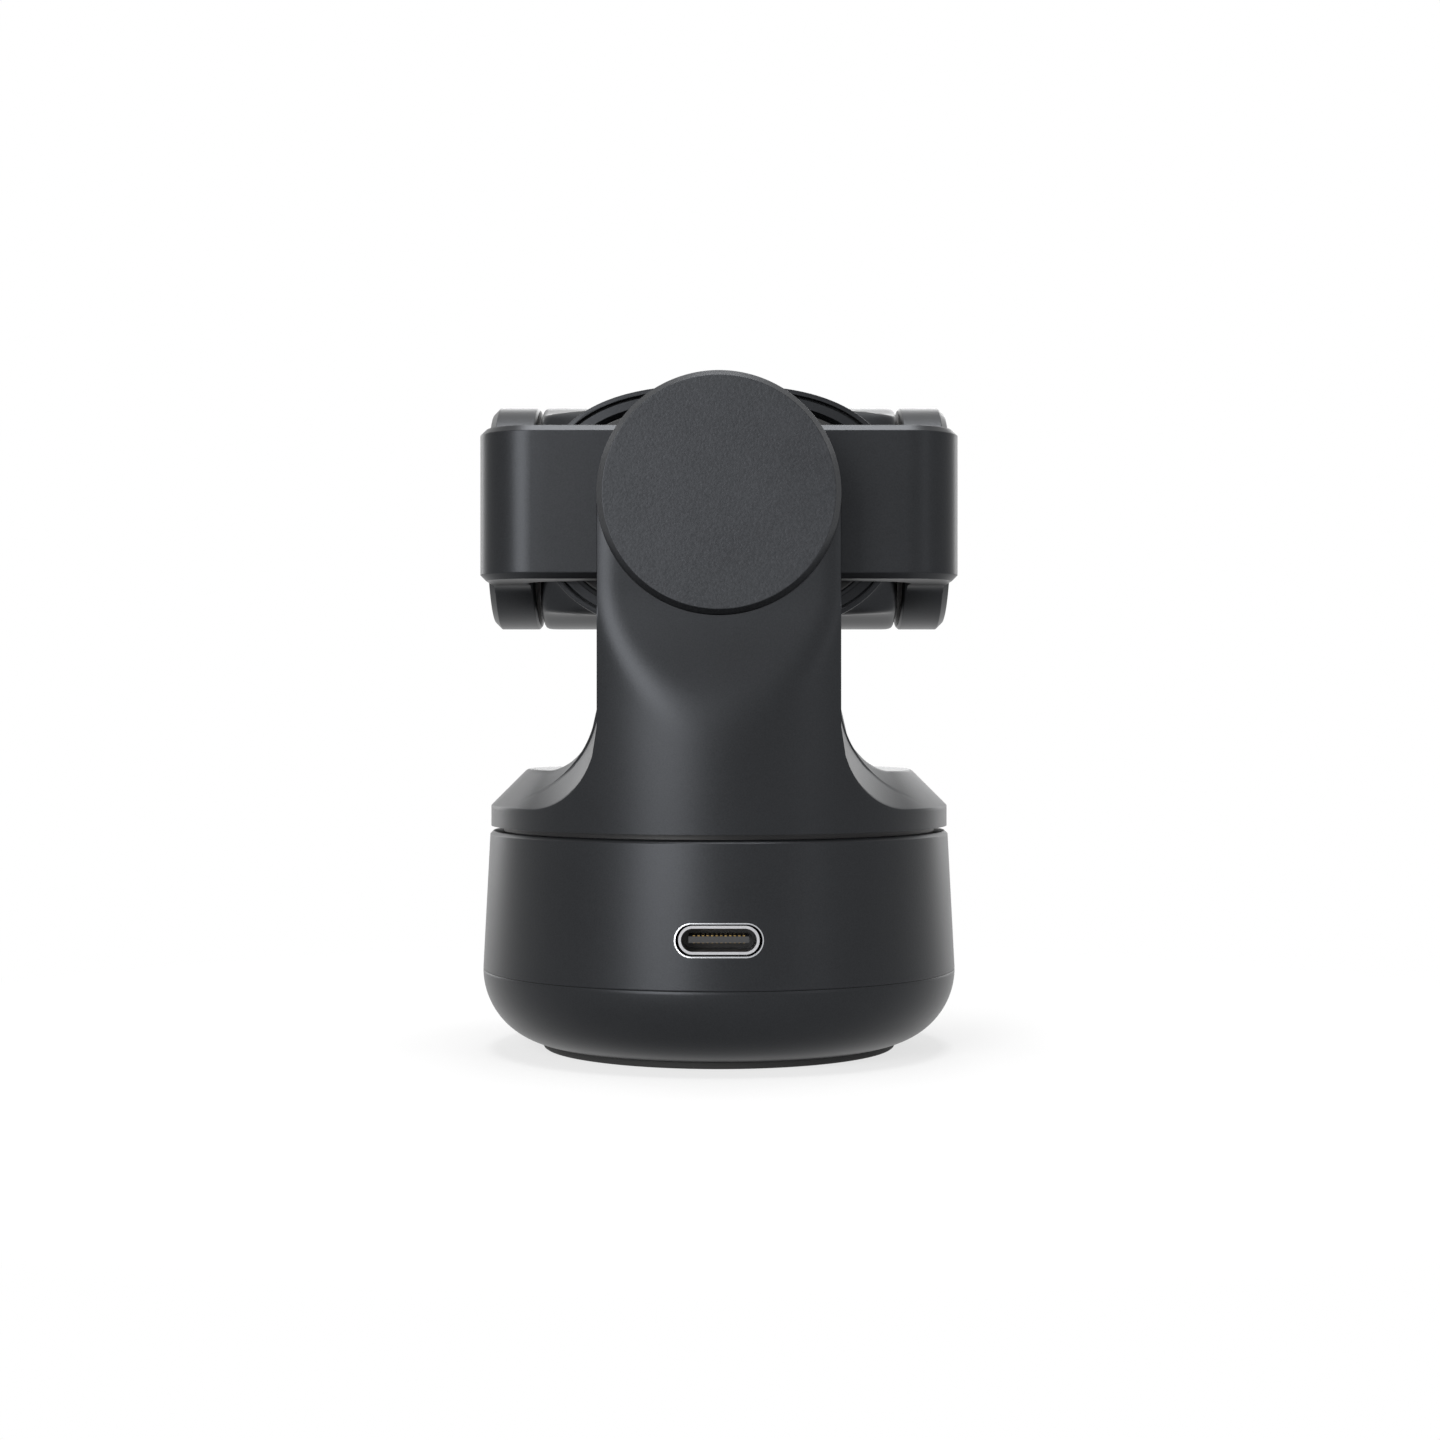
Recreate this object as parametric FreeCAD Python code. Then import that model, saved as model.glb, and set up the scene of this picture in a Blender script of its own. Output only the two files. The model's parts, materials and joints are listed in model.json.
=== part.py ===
import FreeCAD, Part
import math
import os

from FreeCAD import Rotation, Vector

# A small three-axis camera that stands on a desk. Millimetres, +Z up, the lens looks along +Y.
# The origin is on the pan axis, on the plane that the rubber foot stands on.
# Four bodies turn on each other: base, pan body (neck), roll body (yoke) and tilt body (head).
# A fifth body, the focus carrier, slides a fraction of a millimetre inside the head.

# ---- clearances -------------------------------------------------------------------------------
FIT = 0.03               # radial running clearance of a shaft in its bearing
SLIP = 0.1               # clearance of a piece dropped into a pocket of the same body
RUN_GAP = 0.3            # smallest gap between pieces that move past each other
YOKE_GAP = 0.5           # gap between neck and yoke, and between pod and head
SWEEP_GAP = 0.6          # room left behind the head's rim as it tilts

# ---- base -------------------------------------------------------------------------------------
FOOT_R = 21.2            # outer radius of the rubber foot
FOOT_W = 4.0             # width of the foot's ring
FOOT_H = 1.4             # height of the foot's ring
FOOT_SHOWN = 0.6         # how far the foot stands below the lower shell
SEAM_Z = 9.5             # height of the seam round the base
SEAM_R = 28.41           # radius at the seam, the widest point of the base
SHELL_WALL = 1.8         # wall of the base's two shells
BASE_TOP_Z = 26.04       # top of the base housing
BASE_TOP_R = 27.57       # radius there
BASE_TOP_EDGE = 0.4      # chamfer round the housing's top
DECK_T = 1.84            # thickness of the housing's top deck
LIP_H = 1.2              # height of the locating lip above the seam
LIP_T = 0.7              # thickness of that lip
BASE_POST_R = 3.0        # screw posts that join the two shells
BASE_POST_PCR = 19.2     # radius of the circle that the posts stand on
BASE_SCREW_R = 1.0       # shank of a base screw
BASE_SCREW_HEAD_R = 2.0
BASE_SCREW_HEAD_H = 1.5
BASE_SCREW_L = 16.0
BASE_SCREW_SEAT_Z = 3.2  # shoulder that the base screws' heads bear on
DUST_RING_R = 25.95      # outer radius of the dark ring that closes the pan gap
DUST_RING_T = 1.2
DUST_RING_Z = 25.0       # bottom of the ring's groove in the deck
DUST_RING_TOP_Z = 27.9
BALLAST_R = 12.5         # outer radius of the steel weight
BALLAST_BORE_R = 8.0
BALLAST_H = 3.6

# ---- tripod insert ----------------------------------------------------------------------------
INSERT_R = 5.0           # outside of the brass insert
INSERT_H = 7.4
THREAD_R = 2.55          # wall radius of the 1/4 inch tripod thread's core
THREAD_L = 6.2           # depth of that hole
INSERT_BOSS_R = 7.0

# ---- main board and its socket ----------------------------------------------------------------
BOARD_Z = 12.32          # underside of the main board
BOARD_T = 1.2
BOARD_R = 25.3
BOARD_POST_R = 1.9
BOARD_POST_PCR = 22.2
BOARD_SCREW_R = 0.7
BOARD_SCREW_HEAD_R = 1.5
BOARD_SCREW_HEAD_H = 0.9
BOARD_SCREW_L = 5.0
PORT_Z = 15.1            # centre height of the socket
PORT_W = 9.55            # cut-out in the housing
PORT_H = 3.5
PORT_TRIM_T = 0.2        # wall of the bright rim in the cut-out
PORT_TRIM_D = 2.2        # depth of that rim
SOCKET_W = 8.34          # inside of the socket's metal shell
SOCKET_H = 2.56
SOCKET_WALL = 0.3
SOCKET_L = 7.3
SOCKET_INSET = 0.6       # how far the socket lies behind the housing's face
TONGUE_W = 6.69
TONGUE_T = 0.7
TONGUE_INSET = 0.7       # how far the tongue lies behind the socket's mouth
TONGUE_ROOT_L = 2.0      # length of the block that holds the tongue

# ---- pan body ---------------------------------------------------------------------------------
PAN_R = 27.45            # radius of the turning flange
PAN_Z = 26.63            # its underside
PAN_EDGE_Z = 29.05       # where its 45 degree chamfer starts
PAN_TOP_R = 23.1
PAN_TOP_Z = PAN_EDGE_Z + PAN_R - PAN_TOP_R
PAN_WALL = 1.2
NECK_HALF_W = 13.6       # half-width of the neck, and radius of the round boss above it
NECK_FLARE_W = 8.0       # how far the neck flares out at its foot, on each side
NECK_FLARE_H = 9.4       # height of that flare
NECK_WALL = 1.5
ROLL_Z = 64.5            # height of the roll axis
BOSS_REAR_Y = -23.4      # rear end of the round boss
CAP_EDGE_Y = -24.3       # where the cap's chamfer starts
CAP_FACE_Y = -25.3       # the cap's flat rear face
CAP_FACE_R = 12.96
NECK_FRONT_Y = -14.2
NECK_REAR_TOP_Y = -24.2  # the neck's rear wall under the round boss
NECK_LEAN_LOW_Z = 36.0   # the rear wall starts to lean forward here
NECK_LEAN_HIGH_Z = 53.0  # and is upright again here
COVER_HALF_W = 10.0      # cover in the neck's front wall
COVER_LOW_Z = 37.0
COVER_HIGH_Z = 48.5
COVER_T = 1.2
NECK_BOARD_T = 1.0
NECK_BOARD_INSET = 1.0   # the neck's board from the edges of the cover
NECK_SCREW_SHARE = 0.7   # place of the board's screws, as a share of the cover's half width
NECK_BOARD_GAP = 1.4     # height of the cover's bosses that carry the board
SMALL_SCREW_R = 0.6      # the small screws of covers and boards
SMALL_SCREW_HEAD_R = 1.2
SMALL_SCREW_HEAD_H = 0.7

# ---- bearings and motors ----------------------------------------------------------------------
PAN_BEARING = (3.0, 5.0, 3.0)      # bore radius, outside radius, width
ARM_BEARING = (2.5, 4.5, 3.0)      # the same for the roll and tilt axes
HUB_WALL = 1.2                     # wall of the tube round a bearing
TEETH = 9                          # poles of every stator
TOOTH_W = 1.5
CORE_RIM = 1.0                     # the stator's inner ring and its tooth tips
MAGNET_GAP = 0.4                   # air gap between a stator and its magnets
MAGNET_T = 1.0
BELL_T = 0.9
PAN_MOTOR = (11.3, 16.2, 6.2, 0.55)    # stator radius, start of its core, length, winding thickness
ROLL_MOTOR = (9.4, 16.6, 3.6, 0.55)
TILT_MOTOR = (8.6, 23.95, 1.35, 0.35)
PAN_BELL_Z = 13.95                 # underside of the pan bell's plate
PAN_BELL_PLATE_T = 0.8
ROLL_BELL_OUT = 22.6               # outer face of the roll bell's plate, from the pan axis
TILT_BELL_OUT = 26.7               # the same for the tilt bell
ARM_BELL_PLATE_T = 0.7
SHAFT_BORE_R = 1.5                 # cable way through every shaft
SHAFT_FLANGE_R = 6.0
SHAFT_SCREW_PCR = 4.5    # circle of the screws through the shaft's flange
SHAFT_FLANGE_T = 1.0
HEAD_FLANGE_R = 4.0                # flange of a tilt shaft, inside the head's wall
HEAD_SEAT_X = 19.2                 # the flange bears on the wall here

# ---- yoke -------------------------------------------------------------------------------------
YOKE_REAR_Y = NECK_FRONT_Y + YOKE_GAP
YOKE_HALF_W = 28.16
YOKE_HALF_H = 8.9
YOKE_CORNER_R = 6.5
YOKE_CHAMFER = 0.7
YOKE_INNER_CORNER_X = 18.0
YOKE_INNER_CORNER_R = 4.3
HUB_R = 12.9             # round hub of the yoke behind the neck's boss
HUB_T = 3.4
TILT_Y = 11.2            # the tilt axis lies this far in front of the pan axis
POD_R = 13.85
POD_IN_X = 22.3
POD_OUT_X = 28.0
POD_CHAMFER = 0.8
POD_FLOOR_T = 1.2        # the pod's inner wall
POD_RIM_T = 1.55         # the pod's round wall
POD_CAP_T = 1.0
POD_CAP_CHAMFER = 0.3
SENSOR_BOARD_R = 10.5    # angle sensor board in the idle pod
SENSOR_BOARD_T = 0.8
ENCODER_R = 2.2
ENCODER_T = 0.8

# ---- head -------------------------------------------------------------------------------------
HEAD_HALF_W = POD_IN_X - YOKE_GAP
HEAD_R = POD_R           # the head's middle is a cylinder as wide as the pods
OVAL_POWER = 2.6         # exponent of the rounded-rectangle ovals
OVAL_POINTS = 40
REAR_RIM_Y = -2.8
REAR_RIM_HALF_W = 21.7
REAR_RIM_HALF_H = 15.0
REAR_FLARE_L = 7.2       # the rear flare fades into the cylinder over this length
FLARE_W_SHARE = 0.985    # size of the rear flare just in front of its rim, as shares of the rim's
FLARE_H_SHARE = 0.925
FADE_W_SHARE = 0.93      # size where a flare fades out, as shares of the rim's width and the cylinder
FADE_H_SHARE = 0.88
FRONT_WAIST = 3.2        # the front flare is a little lower this far behind its rim
FRONT_WAIST_SHARE = 0.97
FRONT_RIM_Y = 27.9
FRONT_RIM_HALF_W = 21.0
FRONT_RIM_HALF_H = 14.2
FRONT_FLARE_L = 8.0
REAR_RIM_T = 0.6         # width of the thin rim round the rear cover
RING_GAP = 0.25          # dark line between the rim and the bevelled ring
RING_W = 1.5
RING_T = 1.0
REAR_LIP = 1.3           # the rear rim is straight for this length, so its wall stays whole
RING_INSET = 0.2
REAR_COVER_T = 0.65
REAR_COVER_INSET = 0.55
CAVITY_HALF_W = 19.4     # inside of the head behind the sensor board
CAVITY_HALF_H = 11.3
SHOULDER = 1.2           # the inside is this much narrower in front of the board
SENSOR_PCB_Y = 6.0
SENSOR_PCB_T = 1.0
SPREADER_T = 2.4
SPREADER_SHARE = 0.7     # size of the heat spreader as a share of the cavity
IMAGER_W = 8.4
IMAGER_H = 6.6
IMAGER_T = 0.8
MOUNT_FLANGE_W = 17.6
MOUNT_FLANGE_T = 1.4
MOUNT_TUBE_R = 8.6
MOUNT_END_Y = 17.9
BARREL_R = 7.0
BARREL_WALL = 1.2
BARREL_Y = 10.2
BARREL_END_Y = 24.4
FOCUS_TRAVEL = 0.3
COIL_RING_T = 0.8
COIL_RING_L = 2.4
FOCUS_MAGNET_T = 1.2
RETAINER_T = 0.7
FRONT_LENS_T = 3.0
FRONT_LENS_BULGE = 0.6
REAR_LENS_T = 2.1        # edge thickness of the middle and rear lenses
LENS_BULGE = 0.4
LENS_STEP = 0.5          # each seat in the barrel is this much narrower than the last
MIDDLE_LENS_Y = 5.0      # distance of the middle lens from the barrel's rear end
RETAINER_W = 1.0
PANEL_T = 1.5            # dark front panel
PANEL_INSET = 0.5        # how far the panel lies behind the front rim
PANEL_RIM = 1.5          # metal left round the panel
TRIM_R = 9.5             # ring round the lens window
TRIM_WALL = 0.9
TRIM_LIP = 0.7
TRIM_FLANGE = 0.4
TRIM_BACK_Y = 25.0
WINDOW_T = 0.8
LIGHT_X = 12.4
LIGHT_R = 0.7
MIC_X = 15.9
MIC_R = 1.5
MIC_T = 1.3
MIC_HOLE_R = 0.5

X_AXIS = Vector(1, 0, 0)
Y_AXIS = Vector(0, 1, 0)
Z_AXIS = Vector(0, 0, 1)
ORIGIN = Vector(0, 0, 0)
LEFT_AND_RIGHT = (-1, 1)


# ---- helpers ----------------------------------------------------------------------------------
def ring(outer_r, inner_r, low, high):
    """A ring or disc about Z between two heights."""
    solid = Part.makeCylinder(outer_r, high - low, Vector(0, 0, low))
    if inner_r > 0:
        solid = solid.cut(Part.makeCylinder(inner_r, high - low, Vector(0, 0, low)))
    return solid


def revolved(points):
    """A solid of revolution about Z from its (radius, height) outline."""
    outline = [Vector(r, 0, z) for r, z in points]
    outline.append(outline[0])
    return Part.Face(Part.makePolygon(outline)).revolve(ORIGIN, Z_AXIS, 360)


def along_y(shape, reach=1):
    """Turn a shape made about Z so that its +Z points along +Y or -Y on the roll axis."""
    turned = shape.copy()
    turn = FreeCAD.Placement(Vector(0, 0, ROLL_Z), Rotation(Z_AXIS, Y_AXIS * reach))
    turned.Placement = turn.multiply(shape.Placement)
    return turned


def along_x(shape, side):
    """Turn a shape made about Z so that its +Z points out along the tilt axis."""
    turned = shape.copy()
    turn = FreeCAD.Placement(Vector(0, TILT_Y, ROLL_Z), Rotation(Z_AXIS, X_AXIS * side))
    turned.Placement = turn.multiply(shape.Placement)
    return turned


def around(shape, count, start_deg=0.0):
    """Copies of a shape spaced evenly about Z."""
    copies = []
    for index in range(count):
        copy = shape.copy()
        copy.rotate(ORIGIN, Z_AXIS, start_deg + index * 360.0 / count)
        copies.append(copy)
    return copies


def at(shape, x, y, z):
    """A moved copy of a shape."""
    copy = shape.copy()
    copy.translate(Vector(x, y, z))
    return copy


def fused(shapes):
    """One solid from touching shapes."""
    whole = shapes[0].multiFuse(shapes[1:]).removeSplitter()
    return whole.Solids[0] if len(whole.Solids) == 1 else whole


def cut_all(shape, tools):
    """A shape less a list of others."""
    return shape.cut(tools)


def slot_prism(width, height, length):
    """A flat-sided slot with round ends: width along X, height along Z, from y = 0 along +Y."""
    end_r = height / 2
    half = width / 2 - end_r
    left = Vector(-half, 0, 0)
    right = Vector(half, 0, 0)
    up = Vector(0, 0, end_r)
    outline = Part.Wire([
        Part.LineSegment(left + up, right + up).toShape(),
        Part.Arc(right + up, right + Vector(end_r, 0, 0), right - up).toShape(),
        Part.LineSegment(right - up, left - up).toShape(),
        Part.Arc(left - up, left - Vector(end_r, 0, 0), left + up).toShape(),
    ])
    return Part.Face(outline).extrude(Vector(0, length, 0))


def oval_wire(half_w, half_h, y):
    """A rounded-rectangle oval in a plane of constant Y, centred on the lens axis."""
    points = []
    for index in range(OVAL_POINTS):
        turn = 2 * math.pi * index / OVAL_POINTS
        across = abs(math.cos(turn)) ** (2 / OVAL_POWER) * math.copysign(1, math.cos(turn))
        upward = abs(math.sin(turn)) ** (2 / OVAL_POWER) * math.copysign(1, math.sin(turn))
        points.append(Vector(half_w * across, y, ROLL_Z + half_h * upward))
    curve = Part.BSplineCurve()
    curve.interpolate(Points=points, PeriodicFlag=True)
    return Part.Wire([curve.toShape()])


def oval_plate(half_w, half_h, low_y, high_y):
    """A plate with the oval's outline."""
    face = Part.Face(oval_wire(half_w, half_h, low_y))
    return face.extrude(Vector(0, high_y - low_y, 0))


def oval_half_height(x, half_w, half_h):
    """Half-height of an oval at a distance across from its middle."""
    return half_h * (1 - (abs(x) / half_w) ** OVAL_POWER) ** (1 / OVAL_POWER)


def screw(shank_r, head_r, head_h, length):
    """A socket-head screw: its head stands on z = 0 and its shank points down."""
    body = ring(head_r, 0, 0, head_h).fuse(ring(shank_r, 0, -length, 0))
    socket = Part.makeCylinder(head_r * 0.45, head_h * 0.6, Vector(0, 0, head_h * 0.4))
    return body.cut(socket).removeSplitter().Solids[0]


def export(name, shapes):
    """Write one node from one solid or a group of separate solids."""
    solids = []
    for shape in shapes:
        solids.extend(shape.Solids)
    node = solids[0] if len(solids) == 1 else Part.makeCompound(solids)
    node.exportStep("parts/" + name + ".step")


# ---- motors and bearings, made about Z ----------------------------------------------------------
def bearing_ring(sizes, low):
    """One ball bearing as a shielded ring with a groove in each face."""
    bore_r, outside_r, width = sizes
    middle = (bore_r + outside_r) / 2
    shield = (outside_r - bore_r) / 4
    groove = ring(middle + shield, middle - shield, 0, width / 10)
    body = ring(outside_r, bore_r, low, low + width)
    return cut_all(body, [at(groove, 0, 0, low), at(groove, 0, 0, low + width * 0.9)])


def stator_core(bore_r, motor):
    """A laminated core with one tooth per pole."""
    outer_r, start, length, _ = motor
    tooth = Part.makeBox(outer_r - CORE_RIM / 2 - bore_r, TOOTH_W, length)
    tooth = at(tooth, bore_r + CORE_RIM / 2, -TOOTH_W / 2, start)
    tip = ring(outer_r, outer_r - CORE_RIM, start, start + length)
    slot = Part.makeBox(2 * CORE_RIM, TOOTH_W, length)
    slot = at(slot, outer_r - 1.5 * CORE_RIM, -TOOTH_W / 2, start)
    tips = cut_all(tip, around(slot, TEETH, 180.0 / TEETH))
    parts = [ring(bore_r + CORE_RIM, bore_r, start, start + length), tips]
    return fused(parts + around(tooth, TEETH))


def stator_coils(bore_r, motor):
    """One winding round each tooth."""
    outer_r, start, length, coil_t = motor
    inner = bore_r + CORE_RIM + SLIP
    reach = outer_r - CORE_RIM - SLIP - inner
    room = 2 * math.pi * inner / TEETH - TOOTH_W
    side = min(coil_t, (room - SLIP) / 2)
    coil = Part.makeBox(reach, TOOTH_W + 2 * side, length + 2 * side)
    coil = at(coil, inner, -TOOTH_W / 2 - side, start - side)
    tooth = Part.makeBox(reach, TOOTH_W, length)
    coil = coil.cut(at(tooth, inner, -TOOTH_W / 2, start))
    return around(coil, TEETH)


def magnet_ring(motor):
    """The rotor's magnet ring."""
    outer_r, start, length, _ = motor
    inner = outer_r + MAGNET_GAP
    return ring(inner + MAGNET_T, inner, start, start + length)


def rotor_bell(shaft_r, motor, plate_low, plate_high):
    """The steel cup that carries the magnets: a plate with a rim that reaches over the core."""
    outer_r, start, length, _ = motor
    magnet_r = outer_r + MAGNET_GAP + MAGNET_T
    rim_low = min(plate_low, start)
    rim_high = max(plate_high, start + length)
    rim = ring(magnet_r + BELL_T, magnet_r, rim_low, rim_high)
    plate = ring(magnet_r + BELL_T, shaft_r, plate_low, plate_high)
    return fused([plate, rim])


# ---- base ---------------------------------------------------------------------------------------
def foot_ring():
    return ring(FOOT_R, FOOT_R - FOOT_W, 0, FOOT_H)


def housing_radius(z):
    """Outside radius of the tapered housing at a height."""
    share = (z - SEAM_Z) / (BASE_TOP_Z - SEAM_Z)
    return SEAM_R + share * (BASE_TOP_R - SEAM_R)


def lower_shell():
    """Bowl with a quarter-round side, screw posts, board posts and the tripod boss."""
    arc_r = SEAM_Z - FOOT_SHOWN
    inner_arc_r = arc_r - SHELL_WALL
    centre_r = SEAM_R - arc_r
    cut45 = math.sqrt(0.5)
    outer_arc = Part.Arc(
        Vector(centre_r, 0, FOOT_SHOWN),
        Vector(centre_r + arc_r * cut45, 0, SEAM_Z - arc_r * cut45),
        Vector(SEAM_R, 0, SEAM_Z))
    inner_arc = Part.Arc(
        Vector(centre_r + inner_arc_r, 0, SEAM_Z),
        Vector(centre_r + inner_arc_r * cut45, 0, SEAM_Z - inner_arc_r * cut45),
        Vector(centre_r, 0, SEAM_Z - inner_arc_r))
    floor_z = SEAM_Z - inner_arc_r
    outline = Part.Wire([
        Part.LineSegment(Vector(0, 0, FOOT_SHOWN), Vector(centre_r, 0, FOOT_SHOWN)).toShape(),
        outer_arc.toShape(),
        Part.LineSegment(Vector(SEAM_R, 0, SEAM_Z), Vector(centre_r + inner_arc_r, 0, SEAM_Z)).toShape(),
        inner_arc.toShape(),
        Part.LineSegment(Vector(centre_r, 0, floor_z), Vector(0, 0, floor_z)).toShape(),
        Part.LineSegment(Vector(0, 0, floor_z), Vector(0, 0, FOOT_SHOWN)).toShape(),
    ])
    bowl = Part.Face(outline).revolve(ORIGIN, Z_AXIS, 360)
    lip_r = housing_radius(SEAM_Z + LIP_H) - SHELL_WALL - 2 * SLIP
    lip = ring(lip_r, lip_r - LIP_T, SEAM_Z - 2 * LIP_H, SEAM_Z + LIP_H)
    envelope = ring(SEAM_R - LIP_T, 0, FOOT_SHOWN + LIP_T, BOARD_Z)
    post = at(ring(BASE_POST_R, 0, floor_z, SEAM_Z), BASE_POST_PCR, 0, 0)
    board_post = at(ring(BOARD_POST_R, 0, floor_z, BOARD_Z), BOARD_POST_PCR, 0, 0)
    boss = ring(INSERT_BOSS_R, 0, floor_z, FOOT_SHOWN + INSERT_H)
    posts = around(post, 4, 45) + [p.common(envelope) for p in board_post_places(board_post)]
    shell = fused([bowl, lip, boss] + posts)
    head_way = at(ring(BASE_SCREW_HEAD_R + SLIP, 0, FOOT_SHOWN, BASE_SCREW_SEAT_Z), BASE_POST_PCR, 0, 0)
    shank_way = at(ring(BASE_SCREW_R + SLIP, 0, 0, SEAM_Z), BASE_POST_PCR, 0, 0)
    pilot = at(ring(BOARD_SCREW_R, 0, BOARD_Z - BOARD_SCREW_L, BOARD_Z), BOARD_POST_PCR, 0, 0)
    groove = ring(FOOT_R + SLIP, FOOT_R - FOOT_W - SLIP, FOOT_SHOWN, FOOT_H)
    ways = around(head_way, 4, 45) + around(shank_way, 4, 45) + board_post_places(pilot)
    ways += [groove, ring(INSERT_R, 0, FOOT_SHOWN, FOOT_SHOWN + INSERT_H)]
    return cut_all(shell, ways)


def board_post_places(shape):
    """Copies on the three board posts: right, front and left, clear of the socket at the rear."""
    places = around(shape, 4, 0)
    return [places[0], places[1], places[2]]


def tripod_insert():
    body = ring(INSERT_R, 0, FOOT_SHOWN, FOOT_SHOWN + INSERT_H)
    return body.cut(ring(THREAD_R, 0, FOOT_SHOWN, FOOT_SHOWN + THREAD_L))


def ballast_ring():
    floor_z = FOOT_SHOWN + SHELL_WALL
    return ring(BALLAST_R, BALLAST_BORE_R, floor_z, floor_z + BALLAST_H)


def port_cut(width, height, start_inset, length):
    """A slot prism at the socket's place that starts behind the housing's face."""
    face_y = -housing_radius(PORT_Z)
    return at(slot_prism(width, height, length), 0, face_y + start_inset, PORT_Z)


def base_housing():
    """Tapered wall, top deck, bearing hub and screw posts."""
    inner_top_r = BASE_TOP_R - SHELL_WALL
    deck_z = BASE_TOP_Z - DECK_T
    wall = revolved([
        (SEAM_R, SEAM_Z), (housing_radius(BASE_TOP_Z - BASE_TOP_EDGE), BASE_TOP_Z - BASE_TOP_EDGE),
        (BASE_TOP_R - BASE_TOP_EDGE, BASE_TOP_Z),
        (0, BASE_TOP_Z), (0, deck_z), (inner_top_r, deck_z), (SEAM_R - SHELL_WALL, SEAM_Z)])
    hub_r = PAN_BEARING[1] + HUB_WALL
    hub = ring(hub_r, 0, PAN_MOTOR[1] - SLIP, deck_z)
    post = at(ring(BASE_POST_R, 0, SEAM_Z, deck_z), BASE_POST_PCR, 0, 0)
    housing = fused([wall, hub] + around(post, 4, 45))
    pilot = at(ring(BASE_SCREW_R, 0, SEAM_Z, BASE_SCREW_SEAT_Z + BASE_SCREW_L), BASE_POST_PCR, 0, 0)
    ways = around(pilot, 4, 45)
    ways.append(ring(PAN_BEARING[1], 0, PAN_MOTOR[1] - SLIP, BASE_TOP_Z))
    ways.append(ring(DUST_RING_R, DUST_RING_R - DUST_RING_T, DUST_RING_Z, BASE_TOP_Z))
    trim_w = PORT_W + 2 * PORT_TRIM_T
    trim_h = PORT_H + 2 * PORT_TRIM_T
    ways.append(port_cut(trim_w, trim_h, -1, PORT_TRIM_D + 1 + SHELL_WALL))
    return cut_all(housing, ways)


def port_trim():
    """Bright rim that lines the cut-out, following the round wall."""
    outer = port_cut(PORT_W + 2 * PORT_TRIM_T, PORT_H + 2 * PORT_TRIM_T, -1, PORT_TRIM_D + 1)
    rim = outer.cut(port_cut(PORT_W, PORT_H, -1, PORT_TRIM_D + 1))
    cone = Part.makeCone(SEAM_R, BASE_TOP_R, BASE_TOP_Z - SEAM_Z, Vector(0, 0, SEAM_Z))
    return rim.common(cone).Solids[0]


def dust_ring():
    return ring(DUST_RING_R, DUST_RING_R - DUST_RING_T, DUST_RING_Z, DUST_RING_TOP_Z)


def main_board():
    """Round circuit board with ways for the screw posts."""
    board = ring(BOARD_R, 0, BOARD_Z, BOARD_Z + BOARD_T)
    post_way = at(ring(BASE_POST_R + RUN_GAP, 0, BOARD_Z, BOARD_Z + BOARD_T), BASE_POST_PCR, 0, 0)
    screw_way = at(ring(BOARD_SCREW_R + SLIP, 0, BOARD_Z, BOARD_Z + BOARD_T), BOARD_POST_PCR, 0, 0)
    return cut_all(board, around(post_way, 4, 45) + board_post_places(screw_way))


def board_chips():
    """Processor, memory, power coils and the stack connector on the board's underside."""
    parts = []
    low = BOARD_Z
    for x, y, w, d, h in ((-4, -14, 9, 9, 1.2), (5, -15, 6, 7, 1.0), (13, -5, 6, 6, 1.8),
                          (15, 4, 4, 4, 1.6), (-15, 1, 5, 8, 1.4), (0, 15, 9, 3, 1.8)):
        parts.append(at(Part.makeBox(w, d, h), x - w / 2, y - d / 2, low - h))
    return parts


def board_screws():
    one = screw(BOARD_SCREW_R, BOARD_SCREW_HEAD_R, BOARD_SCREW_HEAD_H, BOARD_SCREW_L)
    return board_post_places(at(one, BOARD_POST_PCR, 0, BOARD_Z + BOARD_T))


def base_screws():
    one = screw(BASE_SCREW_R, BASE_SCREW_HEAD_R, BASE_SCREW_HEAD_H, BASE_SCREW_L)
    one.rotate(ORIGIN, X_AXIS, 180)
    return around(at(one, BASE_POST_PCR, 0, BASE_SCREW_SEAT_Z), 4, 45)


def socket_shell():
    """Metal shell of the cable socket, closed at its inner end."""
    outer = port_cut(SOCKET_W + 2 * SOCKET_WALL, SOCKET_H + 2 * SOCKET_WALL, SOCKET_INSET, SOCKET_L)
    return outer.cut(port_cut(SOCKET_W, SOCKET_H, SOCKET_INSET, SOCKET_L - SOCKET_WALL))


def socket_tongue():
    """Tongue of the socket on the block that fills the shell's inner end."""
    root_inset = SOCKET_INSET + SOCKET_L - SOCKET_WALL - TONGUE_ROOT_L
    root = port_cut(SOCKET_W, SOCKET_H, root_inset, TONGUE_ROOT_L)
    face_y = -housing_radius(PORT_Z)
    reach = root_inset - SOCKET_INSET - TONGUE_INSET
    tongue = Part.makeBox(TONGUE_W, reach, TONGUE_T)
    tongue = at(tongue, -TONGUE_W / 2, face_y + SOCKET_INSET + TONGUE_INSET, PORT_Z - TONGUE_T / 2)
    return fused([root, tongue])


def pan_bearings():
    low = PAN_MOTOR[1] - SLIP
    return [bearing_ring(PAN_BEARING, low), bearing_ring(PAN_BEARING, BASE_TOP_Z - PAN_BEARING[2])]


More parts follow.
